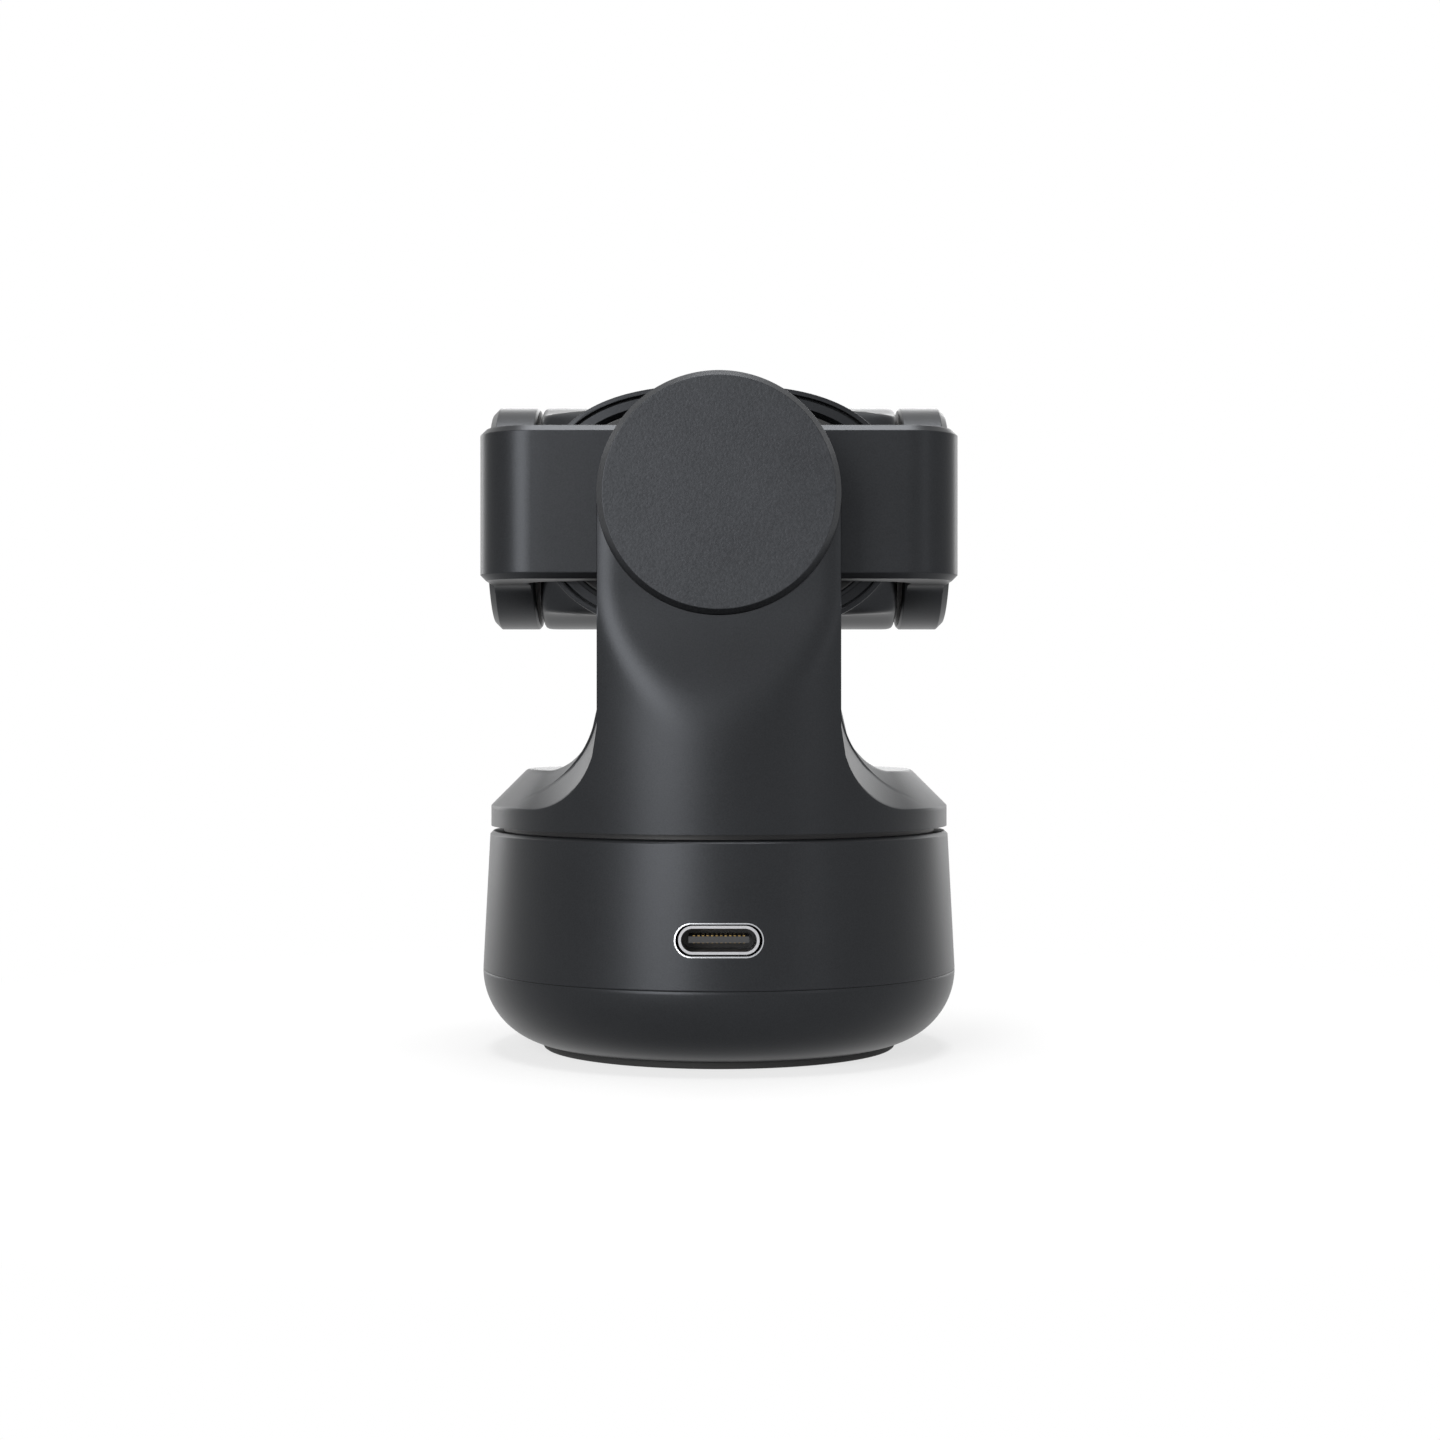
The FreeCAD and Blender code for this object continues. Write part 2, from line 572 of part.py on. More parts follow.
def make_base():
    hub_r = PAN_BEARING[1] + HUB_WALL
    export("foot_ring", [foot_ring()])
    export("lower_shell", [lower_shell()])
    export("tripod_insert", [tripod_insert()])
    export("ballast_ring", [ballast_ring()])
    export("base_housing", [base_housing()])
    export("dust_ring", [dust_ring()])
    export("main_board", [main_board()])
    export("main_board_chips", board_chips())
    export("main_board_screws", board_screws())
    export("base_screws", base_screws())
    export("port_trim", [port_trim()])
    export("socket_shell", [socket_shell()])
    export("socket_tongue", [socket_tongue()])
    export("pan_bearings", pan_bearings())
    export("pan_stator_core", [stator_core(hub_r, PAN_MOTOR)])
    export("pan_stator_coils", stator_coils(hub_r, PAN_MOTOR))


# ---- pan body -----------------------------------------------------------------------------------
def flange_solid(radius, low, edge_z, top_r, top_z):
    return revolved([(0, low), (radius, low), (radius, edge_z), (top_r, top_z), (0, top_z)])


def neck_front_outline(half_w, flare_w, flare_h, low):
    """Face of the neck seen from behind: flared foot, straight sides, round top."""
    foot_x = half_w + flare_w
    shoulder_z = PAN_EDGE_Z + flare_h
    turn = math.sqrt(0.5)
    edges = []
    for side in LEFT_AND_RIGHT:
        bow = Vector(side * (foot_x - flare_w * turn), 0, shoulder_z - flare_h * turn)
        foot = Vector(side * foot_x, 0, PAN_EDGE_Z)
        shoulder = Vector(side * half_w, 0, shoulder_z)
        edges.append(Part.Arc(foot, bow, shoulder).toShape())
        edges.append(Part.LineSegment(shoulder, Vector(side * half_w, 0, ROLL_Z)).toShape())
        edges.append(Part.LineSegment(foot, Vector(side * foot_x, 0, low)).toShape())
    edges.append(Part.LineSegment(Vector(-foot_x, 0, low), Vector(foot_x, 0, low)).toShape())
    top = Part.Arc(Vector(-half_w, 0, ROLL_Z), Vector(0, 0, ROLL_Z + half_w), Vector(half_w, 0, ROLL_Z))
    edges.append(top.toShape())
    return Part.Face(Part.Wire(Part.__sortEdges__(edges)))


def neck_side_prism(rear_inset, front_y, low, high):
    """Prism of the neck seen from the side: its rear wall leans forward under the boss."""
    rear_low = -PAN_R + rear_inset
    rear_high = NECK_REAR_TOP_Y + rear_inset
    points = [(front_y, low), (rear_low, low), (rear_low, NECK_LEAN_LOW_Z),
              (rear_high, NECK_LEAN_HIGH_Z), (rear_high, high), (front_y, high)]
    outline = [Vector(-PAN_R, y, z) for y, z in points]
    outline.append(outline[0])
    return Part.Face(Part.makePolygon(outline)).extrude(Vector(2 * PAN_R, 0, 0))


def roll_ring(outer_r, inner_r, rear_y, front_y):
    """A ring about the roll axis between two Y places."""
    return along_y(ring(outer_r, inner_r, rear_y, front_y))


def pan_shell():
    """Turning flange with the hollow neck and the round boss of the roll axis."""
    flange = flange_solid(PAN_R, PAN_Z, PAN_EDGE_Z, PAN_TOP_R, PAN_TOP_Z)
    top = ROLL_Z + NECK_HALF_W
    outline = neck_front_outline(NECK_HALF_W, NECK_FLARE_W, NECK_FLARE_H, PAN_Z)
    neck = at(outline, 0, -PAN_R, 0).extrude(Vector(0, PAN_R + NECK_FRONT_Y, 0))
    neck = neck.common(neck_side_prism(0, NECK_FRONT_Y, PAN_Z, top))
    neck = neck.common(ring(PAN_R, 0, PAN_Z, top))
    boss = roll_ring(NECK_HALF_W, 0, BOSS_REAR_Y, NECK_FRONT_Y)
    shell = fused([flange, neck, boss])
    slant = PAN_WALL * math.sqrt(2)
    inner_r = PAN_R - PAN_WALL
    ceiling = PAN_TOP_Z - PAN_WALL
    slope_z = PAN_EDGE_Z + PAN_R - inner_r - slant
    cavity = flange_solid(inner_r, PAN_Z, slope_z, inner_r - (ceiling - slope_z), ceiling)
    inside_w = NECK_HALF_W - NECK_WALL
    room_top = ROLL_Z - NECK_WALL
    room = Part.makeBox(2 * inside_w, PAN_R + NECK_FRONT_Y, room_top - ceiling,
                        Vector(-inside_w, -PAN_R, ceiling))
    room = room.common(neck_side_prism(NECK_WALL, NECK_FRONT_Y - NECK_WALL, ceiling, room_top))
    room = room.common(ring(PAN_R - NECK_WALL, SHAFT_FLANGE_R, ceiling, room_top))
    motor_room = roll_ring(inside_w, 0, -PAN_R, NECK_FRONT_Y - NECK_WALL)
    window = Part.makeBox(2 * COVER_HALF_W, 2 * NECK_WALL, COVER_HIGH_Z - COVER_LOW_Z,
                          Vector(-COVER_HALF_W, NECK_FRONT_Y - 2 * NECK_WALL, COVER_LOW_Z))
    boss_clear = roll_ring(NECK_HALF_W, 0, -PAN_R, BOSS_REAR_Y)
    axle_way = roll_ring(ARM_BEARING[1], 0, -PAN_R, NECK_FRONT_Y)
    shaft_way = ring(SHAFT_BORE_R, 0, ceiling, PAN_TOP_Z)
    pilots = around(at(ring(SMALL_SCREW_R, 0, ceiling, PAN_TOP_Z - SLIP), SHAFT_SCREW_PCR, 0, 0), 4, 45)
    shell = cut_all(shell, [cavity, room, motor_room, window, boss_clear, shaft_way] + pilots)
    hub_r = ARM_BEARING[1] + HUB_WALL
    hub = roll_ring(hub_r, 0, -ROLL_MOTOR[1] - ROLL_MOTOR[2] - SLIP, NECK_FRONT_Y)
    return fused([shell, hub]).cut(axle_way)


def neck_front_cover():
    """Cover of the neck's front wall, with two bosses that carry the driver board."""
    low_z = COVER_LOW_Z + SLIP
    plate = Part.makeBox(2 * (COVER_HALF_W - SLIP), COVER_T, COVER_HIGH_Z - COVER_LOW_Z - 2 * SLIP,
                         Vector(SLIP - COVER_HALF_W, NECK_FRONT_Y - COVER_T, low_z))
    bosses = [neck_screw_place(ring(SMALL_SCREW_R * 2, 0, COVER_T, COVER_T + NECK_BOARD_GAP), side)
              for side in LEFT_AND_RIGHT]
    pilots = [neck_screw_place(ring(SMALL_SCREW_R, 0, SLIP * 3, COVER_T + NECK_BOARD_GAP), side)
              for side in LEFT_AND_RIGHT]
    return cut_all(fused([plate] + bosses), pilots)


def neck_screw_place(shape, side):
    """Put a shape made about Z on one of the cover's two board screws, pointing to the rear."""
    turned = along_y(shape, -1)
    middle_z = (COVER_LOW_Z + COVER_HIGH_Z) / 2
    return at(turned, side * COVER_HALF_W * NECK_SCREW_SHARE, NECK_FRONT_Y, middle_z - ROLL_Z)


def neck_board():
    """Motor driver board on the bosses of the neck cover."""
    front_y = NECK_FRONT_Y - COVER_T - NECK_BOARD_GAP
    half_w = COVER_HALF_W - NECK_BOARD_INSET
    height = COVER_HIGH_Z - COVER_LOW_Z - 2 * NECK_BOARD_INSET
    board = Part.makeBox(2 * half_w, NECK_BOARD_T, height,
                         Vector(-half_w, front_y - NECK_BOARD_T, COVER_LOW_Z + NECK_BOARD_INSET))
    back = COVER_T + NECK_BOARD_GAP + NECK_BOARD_T
    ways = [neck_screw_place(ring(SMALL_SCREW_R + SLIP, 0, 0, back), side) for side in LEFT_AND_RIGHT]
    return cut_all(board, ways)


def neck_board_screws():
    one = screw(SMALL_SCREW_R, SMALL_SCREW_HEAD_R, SMALL_SCREW_HEAD_H,
                NECK_BOARD_T + NECK_BOARD_GAP + SLIP * 5)
    one = at(one, 0, 0, COVER_T + NECK_BOARD_GAP + NECK_BOARD_T)
    return [neck_screw_place(one, side) for side in LEFT_AND_RIGHT]


def roll_cap():
    """Round cap that closes the boss, with a chamfered edge and a spigot inside."""
    cap = revolved([(0, -CAP_FACE_Y), (CAP_FACE_R, -CAP_FACE_Y), (NECK_HALF_W, -CAP_EDGE_Y),
                    (NECK_HALF_W, -BOSS_REAR_Y), (0, -BOSS_REAR_Y)])
    spigot_r = NECK_HALF_W - NECK_WALL - 2 * SLIP
    spigot = ring(spigot_r, spigot_r - SHAFT_FLANGE_T / 2, -BOSS_REAR_Y - SLIP * 4, -BOSS_REAR_Y)
    return along_y(fused([cap, spigot]), -1)


def pan_shaft():
    """Hollow shaft with the flange that is screwed up under the pan shell."""
    ceiling = PAN_TOP_Z - PAN_WALL
    radius = PAN_BEARING[0] - FIT
    flange = ring(SHAFT_FLANGE_R, 0, ceiling - SHAFT_FLANGE_T, ceiling)
    body = fused([ring(radius, 0, PAN_BELL_Z, ceiling), flange])
    ways = [ring(SHAFT_BORE_R, 0, PAN_BELL_Z, ceiling)]
    low = ceiling - SHAFT_FLANGE_T
    ways += around(at(ring(SMALL_SCREW_R, 0, low, ceiling), SHAFT_SCREW_PCR, 0, 0), 4, 45)
    return cut_all(body, ways)


def pan_shaft_screws():
    grip = PAN_WALL + SHAFT_FLANGE_T - SLIP * 2
    one = screw(SMALL_SCREW_R, SMALL_SCREW_HEAD_R, SMALL_SCREW_HEAD_H, grip)
    one.rotate(ORIGIN, X_AXIS, 180)
    seat = PAN_TOP_Z - PAN_WALL - SHAFT_FLANGE_T
    return around(at(one, SHAFT_SCREW_PCR, 0, seat), 4, 45)


def roll_bearings():
    """Two bearings side by side along the roll axis, one at each end of the hub."""
    front = -NECK_FRONT_Y
    rear = ROLL_MOTOR[1] + ROLL_MOTOR[2] + SLIP - ARM_BEARING[2]
    return [along_y(bearing_ring(ARM_BEARING, front), -1), along_y(bearing_ring(ARM_BEARING, rear), -1)]


def make_pan():
    hub_r = ARM_BEARING[1] + HUB_WALL
    pan_magnets = magnet_ring(PAN_MOTOR)
    pan_bell = rotor_bell(PAN_BEARING[0] - FIT, PAN_MOTOR, PAN_BELL_Z, PAN_BELL_Z + PAN_BELL_PLATE_T)
    export("pan_shell", [pan_shell()])
    export("pan_shaft", [pan_shaft()])
    export("pan_shaft_screws", pan_shaft_screws())
    export("pan_magnet_ring", [pan_magnets])
    export("pan_rotor_bell", [pan_bell])
    export("neck_front_cover", [neck_front_cover()])
    export("neck_board", [neck_board()])
    export("neck_board_screws", neck_board_screws())
    export("roll_cap", [roll_cap()])
    export("roll_bearings", roll_bearings())
    export("roll_stator_core", [along_y(stator_core(hub_r, ROLL_MOTOR), -1)])
    export("roll_stator_coils", [along_y(coil, -1) for coil in stator_coils(hub_r, ROLL_MOTOR)])


# ---- yoke ---------------------------------------------------------------------------------------
def rim_sweep_y(x):
    """Rearmost place that the head's rear rim reaches at a distance across, as the head tilts."""
    half_h = oval_half_height(x, REAR_RIM_HALF_W, REAR_RIM_HALF_H)
    return TILT_Y - math.hypot(TILT_Y - REAR_RIM_Y, half_h)


def yoke_plan():
    """Plan of the yoke: a U with round rear corners and an inner wall that clears the head."""
    outer = YOKE_HALF_W
    corner = outer - YOKE_CORNER_R
    rear = YOKE_REAR_Y
    turn = math.sqrt(0.5)
    middle_y = rim_sweep_y(0) - SWEEP_GAP
    side_y = rim_sweep_y(YOKE_INNER_CORNER_X) - SWEEP_GAP
    corner_y = side_y + YOKE_INNER_CORNER_R
    bow_x = YOKE_INNER_CORNER_X + YOKE_INNER_CORNER_R * turn
    bow_y = corner_y - YOKE_INNER_CORNER_R * turn
    edges = [Part.LineSegment(Vector(-corner, rear, 0), Vector(corner, rear, 0)).toShape()]
    for side in LEFT_AND_RIGHT:
        start = Vector(side * corner, rear, 0)
        bow = Vector(side * (corner + YOKE_CORNER_R * turn), rear + YOKE_CORNER_R * (1 - turn), 0)
        wall = Vector(side * outer, rear + YOKE_CORNER_R, 0)
        tip = Vector(side * outer, TILT_Y, 0)
        inner_tip = Vector(side * POD_IN_X, TILT_Y, 0)
        inner_wall = Vector(side * POD_IN_X, corner_y, 0)
        inner_bow = Vector(side * bow_x, bow_y, 0)
        inner_corner = Vector(side * YOKE_INNER_CORNER_X, side_y, 0)
        edges.append(Part.Arc(start, bow, wall).toShape())
        edges.append(Part.LineSegment(wall, tip).toShape())
        edges.append(Part.LineSegment(tip, inner_tip).toShape())
        edges.append(Part.LineSegment(inner_tip, inner_wall).toShape())
        edges.append(Part.Arc(inner_wall, inner_bow, inner_corner).toShape())
    inner = Part.Arc(Vector(-YOKE_INNER_CORNER_X, side_y, 0), Vector(0, middle_y, 0),
                     Vector(YOKE_INNER_CORNER_X, side_y, 0))
    edges.append(inner.toShape())
    return Part.Face(Part.Wire(Part.__sortEdges__(edges)))


def yoke_arm():
    """Band, round hub and the two hollow pods, as one casting."""
    band = at(yoke_plan(), 0, 0, ROLL_Z - YOKE_HALF_H).extrude(Vector(0, 0, 2 * YOKE_HALF_H))
    level = [e for e in band.Edges if e.BoundBox.ZLength < SLIP and e.BoundBox.YMin < -POD_CHAMFER]
    band = band.makeChamfer(YOKE_CHAMFER, level)
    hub = roll_ring(HUB_R, 0, YOKE_REAR_Y, YOKE_REAR_Y + HUB_T)
    parts = [band, hub]
    ways = [roll_ring(ARM_BEARING[0] - FIT, 0, YOKE_REAR_Y, 0)]
    motor_room_r = POD_R - POD_RIM_T
    for side in LEFT_AND_RIGHT:
        pod = revolved([(0, POD_IN_X), (POD_R - POD_CHAMFER / 2, POD_IN_X),
                        (POD_R, POD_IN_X + POD_CHAMFER / 2), (POD_R, POD_OUT_X - POD_CHAMFER),
                        (POD_R - POD_CHAMFER, POD_OUT_X), (0, POD_OUT_X)])
        parts.append(along_x(pod, side))
        ways.append(along_x(ring(motor_room_r, 0, POD_IN_X + POD_FLOOR_T, YOKE_HALF_W), side))
    arm = cut_all(fused(parts), ways)
    hubs = [along_x(ring(ARM_BEARING[1] + HUB_WALL, 0, POD_IN_X, POD_IN_X + ARM_BEARING[2] + SLIP), side)
            for side in LEFT_AND_RIGHT]
    seats = [along_x(ring(ARM_BEARING[1], 0, POD_IN_X, YOKE_HALF_W), side) for side in LEFT_AND_RIGHT]
    return cut_all(fused([arm] + hubs), seats)


def roll_shaft():
    """Hollow shaft pressed in the yoke's hub, carried by the neck's bearings."""
    radius = ARM_BEARING[0] - FIT
    body = ring(radius, 0, -YOKE_REAR_Y - HUB_T, ROLL_BELL_OUT)
    return along_y(body.cut(ring(SHAFT_BORE_R, 0, -YOKE_REAR_Y - HUB_T, ROLL_BELL_OUT)), -1)


def tilt_bearings():
    one = bearing_ring(ARM_BEARING, POD_IN_X + SLIP)
    return [along_x(one, side) for side in LEFT_AND_RIGHT]


def pod_cap():
    """Round cap of a pod, made about Z."""
    radius = POD_R - POD_RIM_T - SLIP
    low = POD_OUT_X - POD_CAP_T
    return revolved([(0, low), (radius, low), (radius, POD_OUT_X - POD_CAP_CHAMFER),
                     (radius - POD_CAP_CHAMFER, POD_OUT_X), (0, POD_OUT_X)])


def tilt_sensor_board():
    """Ring-shaped board under the idle pod's cap, which reads the tilt shaft's magnet."""
    low = POD_IN_X + ARM_BEARING[2] + SLIP
    return along_x(ring(SENSOR_BOARD_R, ARM_BEARING[1], low, low + SENSOR_BOARD_T), -1)


def make_yoke():
    shaft_r = ARM_BEARING[0] - FIT
    hub_r = ARM_BEARING[1] + HUB_WALL
    bell = rotor_bell(shaft_r, ROLL_MOTOR, ROLL_BELL_OUT - ARM_BELL_PLATE_T, ROLL_BELL_OUT)
    export("yoke_arm", [yoke_arm()])
    export("roll_shaft", [roll_shaft()])
    export("roll_magnet_ring", [along_y(magnet_ring(ROLL_MOTOR), -1)])
    export("roll_rotor_bell", [along_y(bell, -1)])
    export("tilt_bearings", tilt_bearings())
    export("tilt_stator_core", [along_x(stator_core(hub_r, TILT_MOTOR), 1)])
    export("tilt_stator_coils", [along_x(coil, 1) for coil in stator_coils(hub_r, TILT_MOTOR)])
    export("tilt_sensor_board", [tilt_sensor_board()])
    export("pod_cap_left", [along_x(pod_cap(), -1)])
    export("pod_cap_right", [along_x(pod_cap(), 1)])


# ---- head ---------------------------------------------------------------------------------------
def oval_loft(sections):
    """A solid through ovals, each given as (half-width, half-height, y)."""
    wires = [oval_wire(half_w, half_h, y) for half_w, half_h, y in sections]
    return Part.makeLoft(wires, True, False)


def head_shell():
    """Cylinder across the tilt axis, flared to an oval rim behind and in front."""
    middle = Part.makeCylinder(HEAD_R, 2 * HEAD_HALF_W, Vector(-HEAD_HALF_W, TILT_Y, ROLL_Z), X_AXIS)
    fade_w = REAR_RIM_HALF_W * FADE_W_SHARE
    fade_h = HEAD_R * FADE_H_SHARE
    rear = oval_loft([
        (REAR_RIM_HALF_W, REAR_RIM_HALF_H, REAR_RIM_Y),
        (REAR_RIM_HALF_W, REAR_RIM_HALF_H, REAR_RIM_Y + REAR_LIP),
        (REAR_RIM_HALF_W * FLARE_W_SHARE, REAR_RIM_HALF_H * FLARE_H_SHARE, REAR_RIM_Y + REAR_LIP * 2),
        (fade_w, fade_h, REAR_RIM_Y + REAR_FLARE_L)])
    front = oval_loft([
        (fade_w, fade_h, FRONT_RIM_Y - FRONT_FLARE_L),
        (FRONT_RIM_HALF_W, FRONT_RIM_HALF_H * FRONT_WAIST_SHARE, FRONT_RIM_Y - FRONT_WAIST),
        (FRONT_RIM_HALF_W, FRONT_RIM_HALF_H, FRONT_RIM_Y)])
    shell = fused([middle, rear, front])
    board_front = SENSOR_PCB_Y + SENSOR_PCB_T
    ring_seat = REAR_RIM_Y + RING_INSET + RING_T
    pocket = oval_plate(REAR_RIM_HALF_W - REAR_RIM_T, REAR_RIM_HALF_H - REAR_RIM_T, REAR_RIM_Y, ring_seat)
    room = oval_plate(CAVITY_HALF_W, CAVITY_HALF_H, ring_seat, board_front)
    lens_room = oval_plate(CAVITY_HALF_W - SHOULDER, CAVITY_HALF_H - SHOULDER, board_front, FRONT_RIM_Y)
    panel_seat = oval_plate(FRONT_RIM_HALF_W - PANEL_RIM, FRONT_RIM_HALF_H - PANEL_RIM,
                            FRONT_RIM_Y - PANEL_INSET - PANEL_T, FRONT_RIM_Y)
    shaft_way = Part.makeCylinder(ARM_BEARING[0] - FIT, 2 * HEAD_HALF_W,
                                  Vector(-HEAD_HALF_W, TILT_Y, ROLL_Z), X_AXIS)
    flange_way = Part.makeCylinder(HEAD_FLANGE_R + SLIP, 2 * HEAD_SEAT_X,
                                   Vector(-HEAD_SEAT_X, TILT_Y, ROLL_Z), X_AXIS)
    return cut_all(shell, [pocket, room, lens_room, panel_seat, shaft_way, flange_way])


def head_rear_ring():
    """Bevelled oval ring inside the head's rear rim."""
    outer_w = REAR_RIM_HALF_W - REAR_RIM_T - RING_GAP
    outer_h = REAR_RIM_HALF_H - REAR_RIM_T - RING_GAP
    start = REAR_RIM_Y + RING_INSET
    plate = oval_plate(outer_w, outer_h, start, start + RING_T)
    bevel = RING_W * 0.4
    mouth = oval_loft([(outer_w - bevel, outer_h - bevel, start),
                       (outer_w - RING_W, outer_h - RING_W, start + bevel)])
    hole = oval_plate(outer_w - RING_W, outer_h - RING_W, start, start + RING_T)
    return cut_all(plate, [mouth, hole])


def head_rear_cover():
    """Flat dark cover inside the bevelled ring."""
    inset = REAR_RIM_T + RING_GAP + RING_W + SLIP
    start = REAR_RIM_Y + REAR_COVER_INSET
    return oval_plate(REAR_RIM_HALF_W - inset, REAR_RIM_HALF_H - inset, start, start + REAR_COVER_T)


def sensor_pcb():
    return oval_plate(CAVITY_HALF_W - SLIP, CAVITY_HALF_H - SLIP, SENSOR_PCB_Y, SENSOR_PCB_Y + SENSOR_PCB_T)


def heat_spreader():
    """Finned plate on the back of the sensor board."""
    half_w = CAVITY_HALF_W * SPREADER_SHARE
    half_h = CAVITY_HALF_H * SPREADER_SHARE
    base_t = SPREADER_T * 0.4
    plate = Part.makeBox(2 * half_w, base_t, 2 * half_h,
                         Vector(-half_w, SENSOR_PCB_Y - base_t, ROLL_Z - half_h))
    fins = []
    count = 9
    pitch = 2 * half_w / count
    for index in range(count):
        x = -half_w + (index + 0.25) * pitch
        fins.append(Part.makeBox(pitch / 2, SPREADER_T - base_t, 2 * half_h,
                                 Vector(x, SENSOR_PCB_Y - SPREADER_T, ROLL_Z - half_h)))
    return fused([plate] + fins)


def imager():
    return Part.makeBox(IMAGER_W, IMAGER_T, IMAGER_H,
                        Vector(-IMAGER_W / 2, SENSOR_PCB_Y + SENSOR_PCB_T, ROLL_Z - IMAGER_H / 2))


def lens_mount():
    """Square flange on the board with the guide tube of the focus carrier."""
    low = SENSOR_PCB_Y + SENSOR_PCB_T
    flange = Part.makeBox(MOUNT_FLANGE_W, MOUNT_FLANGE_T, MOUNT_FLANGE_W,
                          Vector(-MOUNT_FLANGE_W / 2, low, ROLL_Z - MOUNT_FLANGE_W / 2))
    tube = roll_ring(MOUNT_TUBE_R, 0, low, MOUNT_END_Y)
    return fused([flange, tube]).cut(roll_ring(BARREL_R + FIT * 2, 0, low, MOUNT_END_Y))


def focus_magnet():
    inner_r = BARREL_R + COIL_RING_T + RUN_GAP
    return roll_ring(inner_r + FOCUS_MAGNET_T, inner_r, MOUNT_END_Y, MOUNT_END_Y + COIL_RING_L + RUN_GAP)


def focus_coil():
    start = MOUNT_END_Y + RUN_GAP
    return roll_ring(BARREL_R + COIL_RING_T, BARREL_R, start, start + COIL_RING_L)


def lens_barrel():
    """Barrel with a step for each lens element."""
    barrel = roll_ring(BARREL_R, 0, BARREL_Y, BARREL_END_Y)
    bore_r = BARREL_R - BARREL_WALL
    waist = roll_ring(bore_r - 3 * LENS_STEP, 0, BARREL_Y, BARREL_END_Y)
    front_seat = roll_ring(bore_r, 0, front_lens_y(), BARREL_END_Y)
    rear_seat = roll_ring(bore_r - LENS_STEP, 0, BARREL_Y, BARREL_Y + REAR_LENS_T + 3 * SLIP)
    return cut_all(barrel, [waist, front_seat, rear_seat])


def dome_height(radius, bulge):
    """Height of a ball-shaped dome half-way from its edge to its middle."""
    ball_r = (radius ** 2 + bulge ** 2) / (2 * abs(bulge))
    height = math.sqrt(ball_r ** 2 - (radius / 2) ** 2) - (ball_r - abs(bulge))
    return math.copysign(height, bulge)


def front_lens_y():
    """Rear edge of the front lens, whose front just clears the retaining ring's face."""
    return BARREL_END_Y - RETAINER_T - FRONT_LENS_BULGE - FRONT_LENS_T


def lens_element(radius, edge_y, thickness, bulge_front, bulge_rear):
    """One lens: a disc whose faces bulge by the given heights, thinner than its seat."""
    rear = edge_y
    front = edge_y + thickness
    rear_arc = Part.Arc(Vector(radius, 0, rear),
                        Vector(radius / 2, 0, rear - dome_height(radius, bulge_rear)),
                        Vector(0, 0, rear - bulge_rear))
    front_arc = Part.Arc(Vector(0, 0, front + bulge_front),
                         Vector(radius / 2, 0, front + dome_height(radius, bulge_front)),
                         Vector(radius, 0, front))
    outline = Part.Wire([
        rear_arc.toShape(),
        Part.LineSegment(Vector(0, 0, rear - bulge_rear), Vector(0, 0, front + bulge_front)).toShape(),
        front_arc.toShape(),
        Part.LineSegment(Vector(radius, 0, front), Vector(radius, 0, rear)).toShape(),
    ])
    return along_y(Part.Face(outline).revolve(ORIGIN, Z_AXIS, 360))


def lens_elements():
    bore_r = BARREL_R - BARREL_WALL
    return [
        lens_element(bore_r, front_lens_y(), FRONT_LENS_T, FRONT_LENS_BULGE, -2 * LENS_BULGE),
        lens_element(bore_r - 3 * LENS_STEP, BARREL_Y + MIDDLE_LENS_Y, REAR_LENS_T, LENS_BULGE, LENS_BULGE),
        lens_element(bore_r - LENS_STEP, BARREL_Y + 3 * SLIP, REAR_LENS_T, -LENS_BULGE, LENS_BULGE / 2),
    ]


def lens_retainer():
    bore_r = BARREL_R - BARREL_WALL
    return roll_ring(bore_r, bore_r - RETAINER_W, BARREL_END_Y - RETAINER_T, BARREL_END_Y)


def front_panel():
    """Dark front panel with ways for the lens ring, the light and the microphones."""
    start = FRONT_RIM_Y - PANEL_INSET - PANEL_T
    panel = oval_plate(FRONT_RIM_HALF_W - PANEL_RIM - SLIP, FRONT_RIM_HALF_H - PANEL_RIM - SLIP,
                       start, start + PANEL_T)
    ways = [roll_ring(TRIM_R + SLIP, 0, start, FRONT_RIM_Y)]
    ways.append(at(roll_ring(LIGHT_R + SLIP, 0, start, FRONT_RIM_Y), LIGHT_X, 0, 0))
    for side in LEFT_AND_RIGHT:
        ways.append(at(roll_ring(MIC_HOLE_R, 0, start, FRONT_RIM_Y), side * MIC_X, 0, 0))
    return cut_all(panel, ways)


def lens_trim():
    """Metal ring round the lens window, held behind the panel by its flange."""
    panel_back = FRONT_RIM_Y - PANEL_INSET - PANEL_T
    body = roll_ring(TRIM_R, 0, TRIM_BACK_Y, FRONT_RIM_Y)
    flange = roll_ring(TRIM_R + TRIM_FLANGE, 0, TRIM_BACK_Y, panel_back)
    way = roll_ring(TRIM_R - TRIM_WALL - TRIM_LIP, 0, TRIM_BACK_Y, FRONT_RIM_Y)
    seat = roll_ring(TRIM_R - TRIM_WALL, 0, window_back_y(), FRONT_RIM_Y)
    return cut_all(fused([body, flange]), [way, seat])


def window_back_y():
    """Rear face of the lens window, clear of the barrel at the end of its travel."""
    return BARREL_END_Y + FOCUS_TRAVEL + SWEEP_GAP + 1.2


def lens_window():
    return roll_ring(TRIM_R - TRIM_WALL - SLIP, 0, window_back_y(), window_back_y() + WINDOW_T)


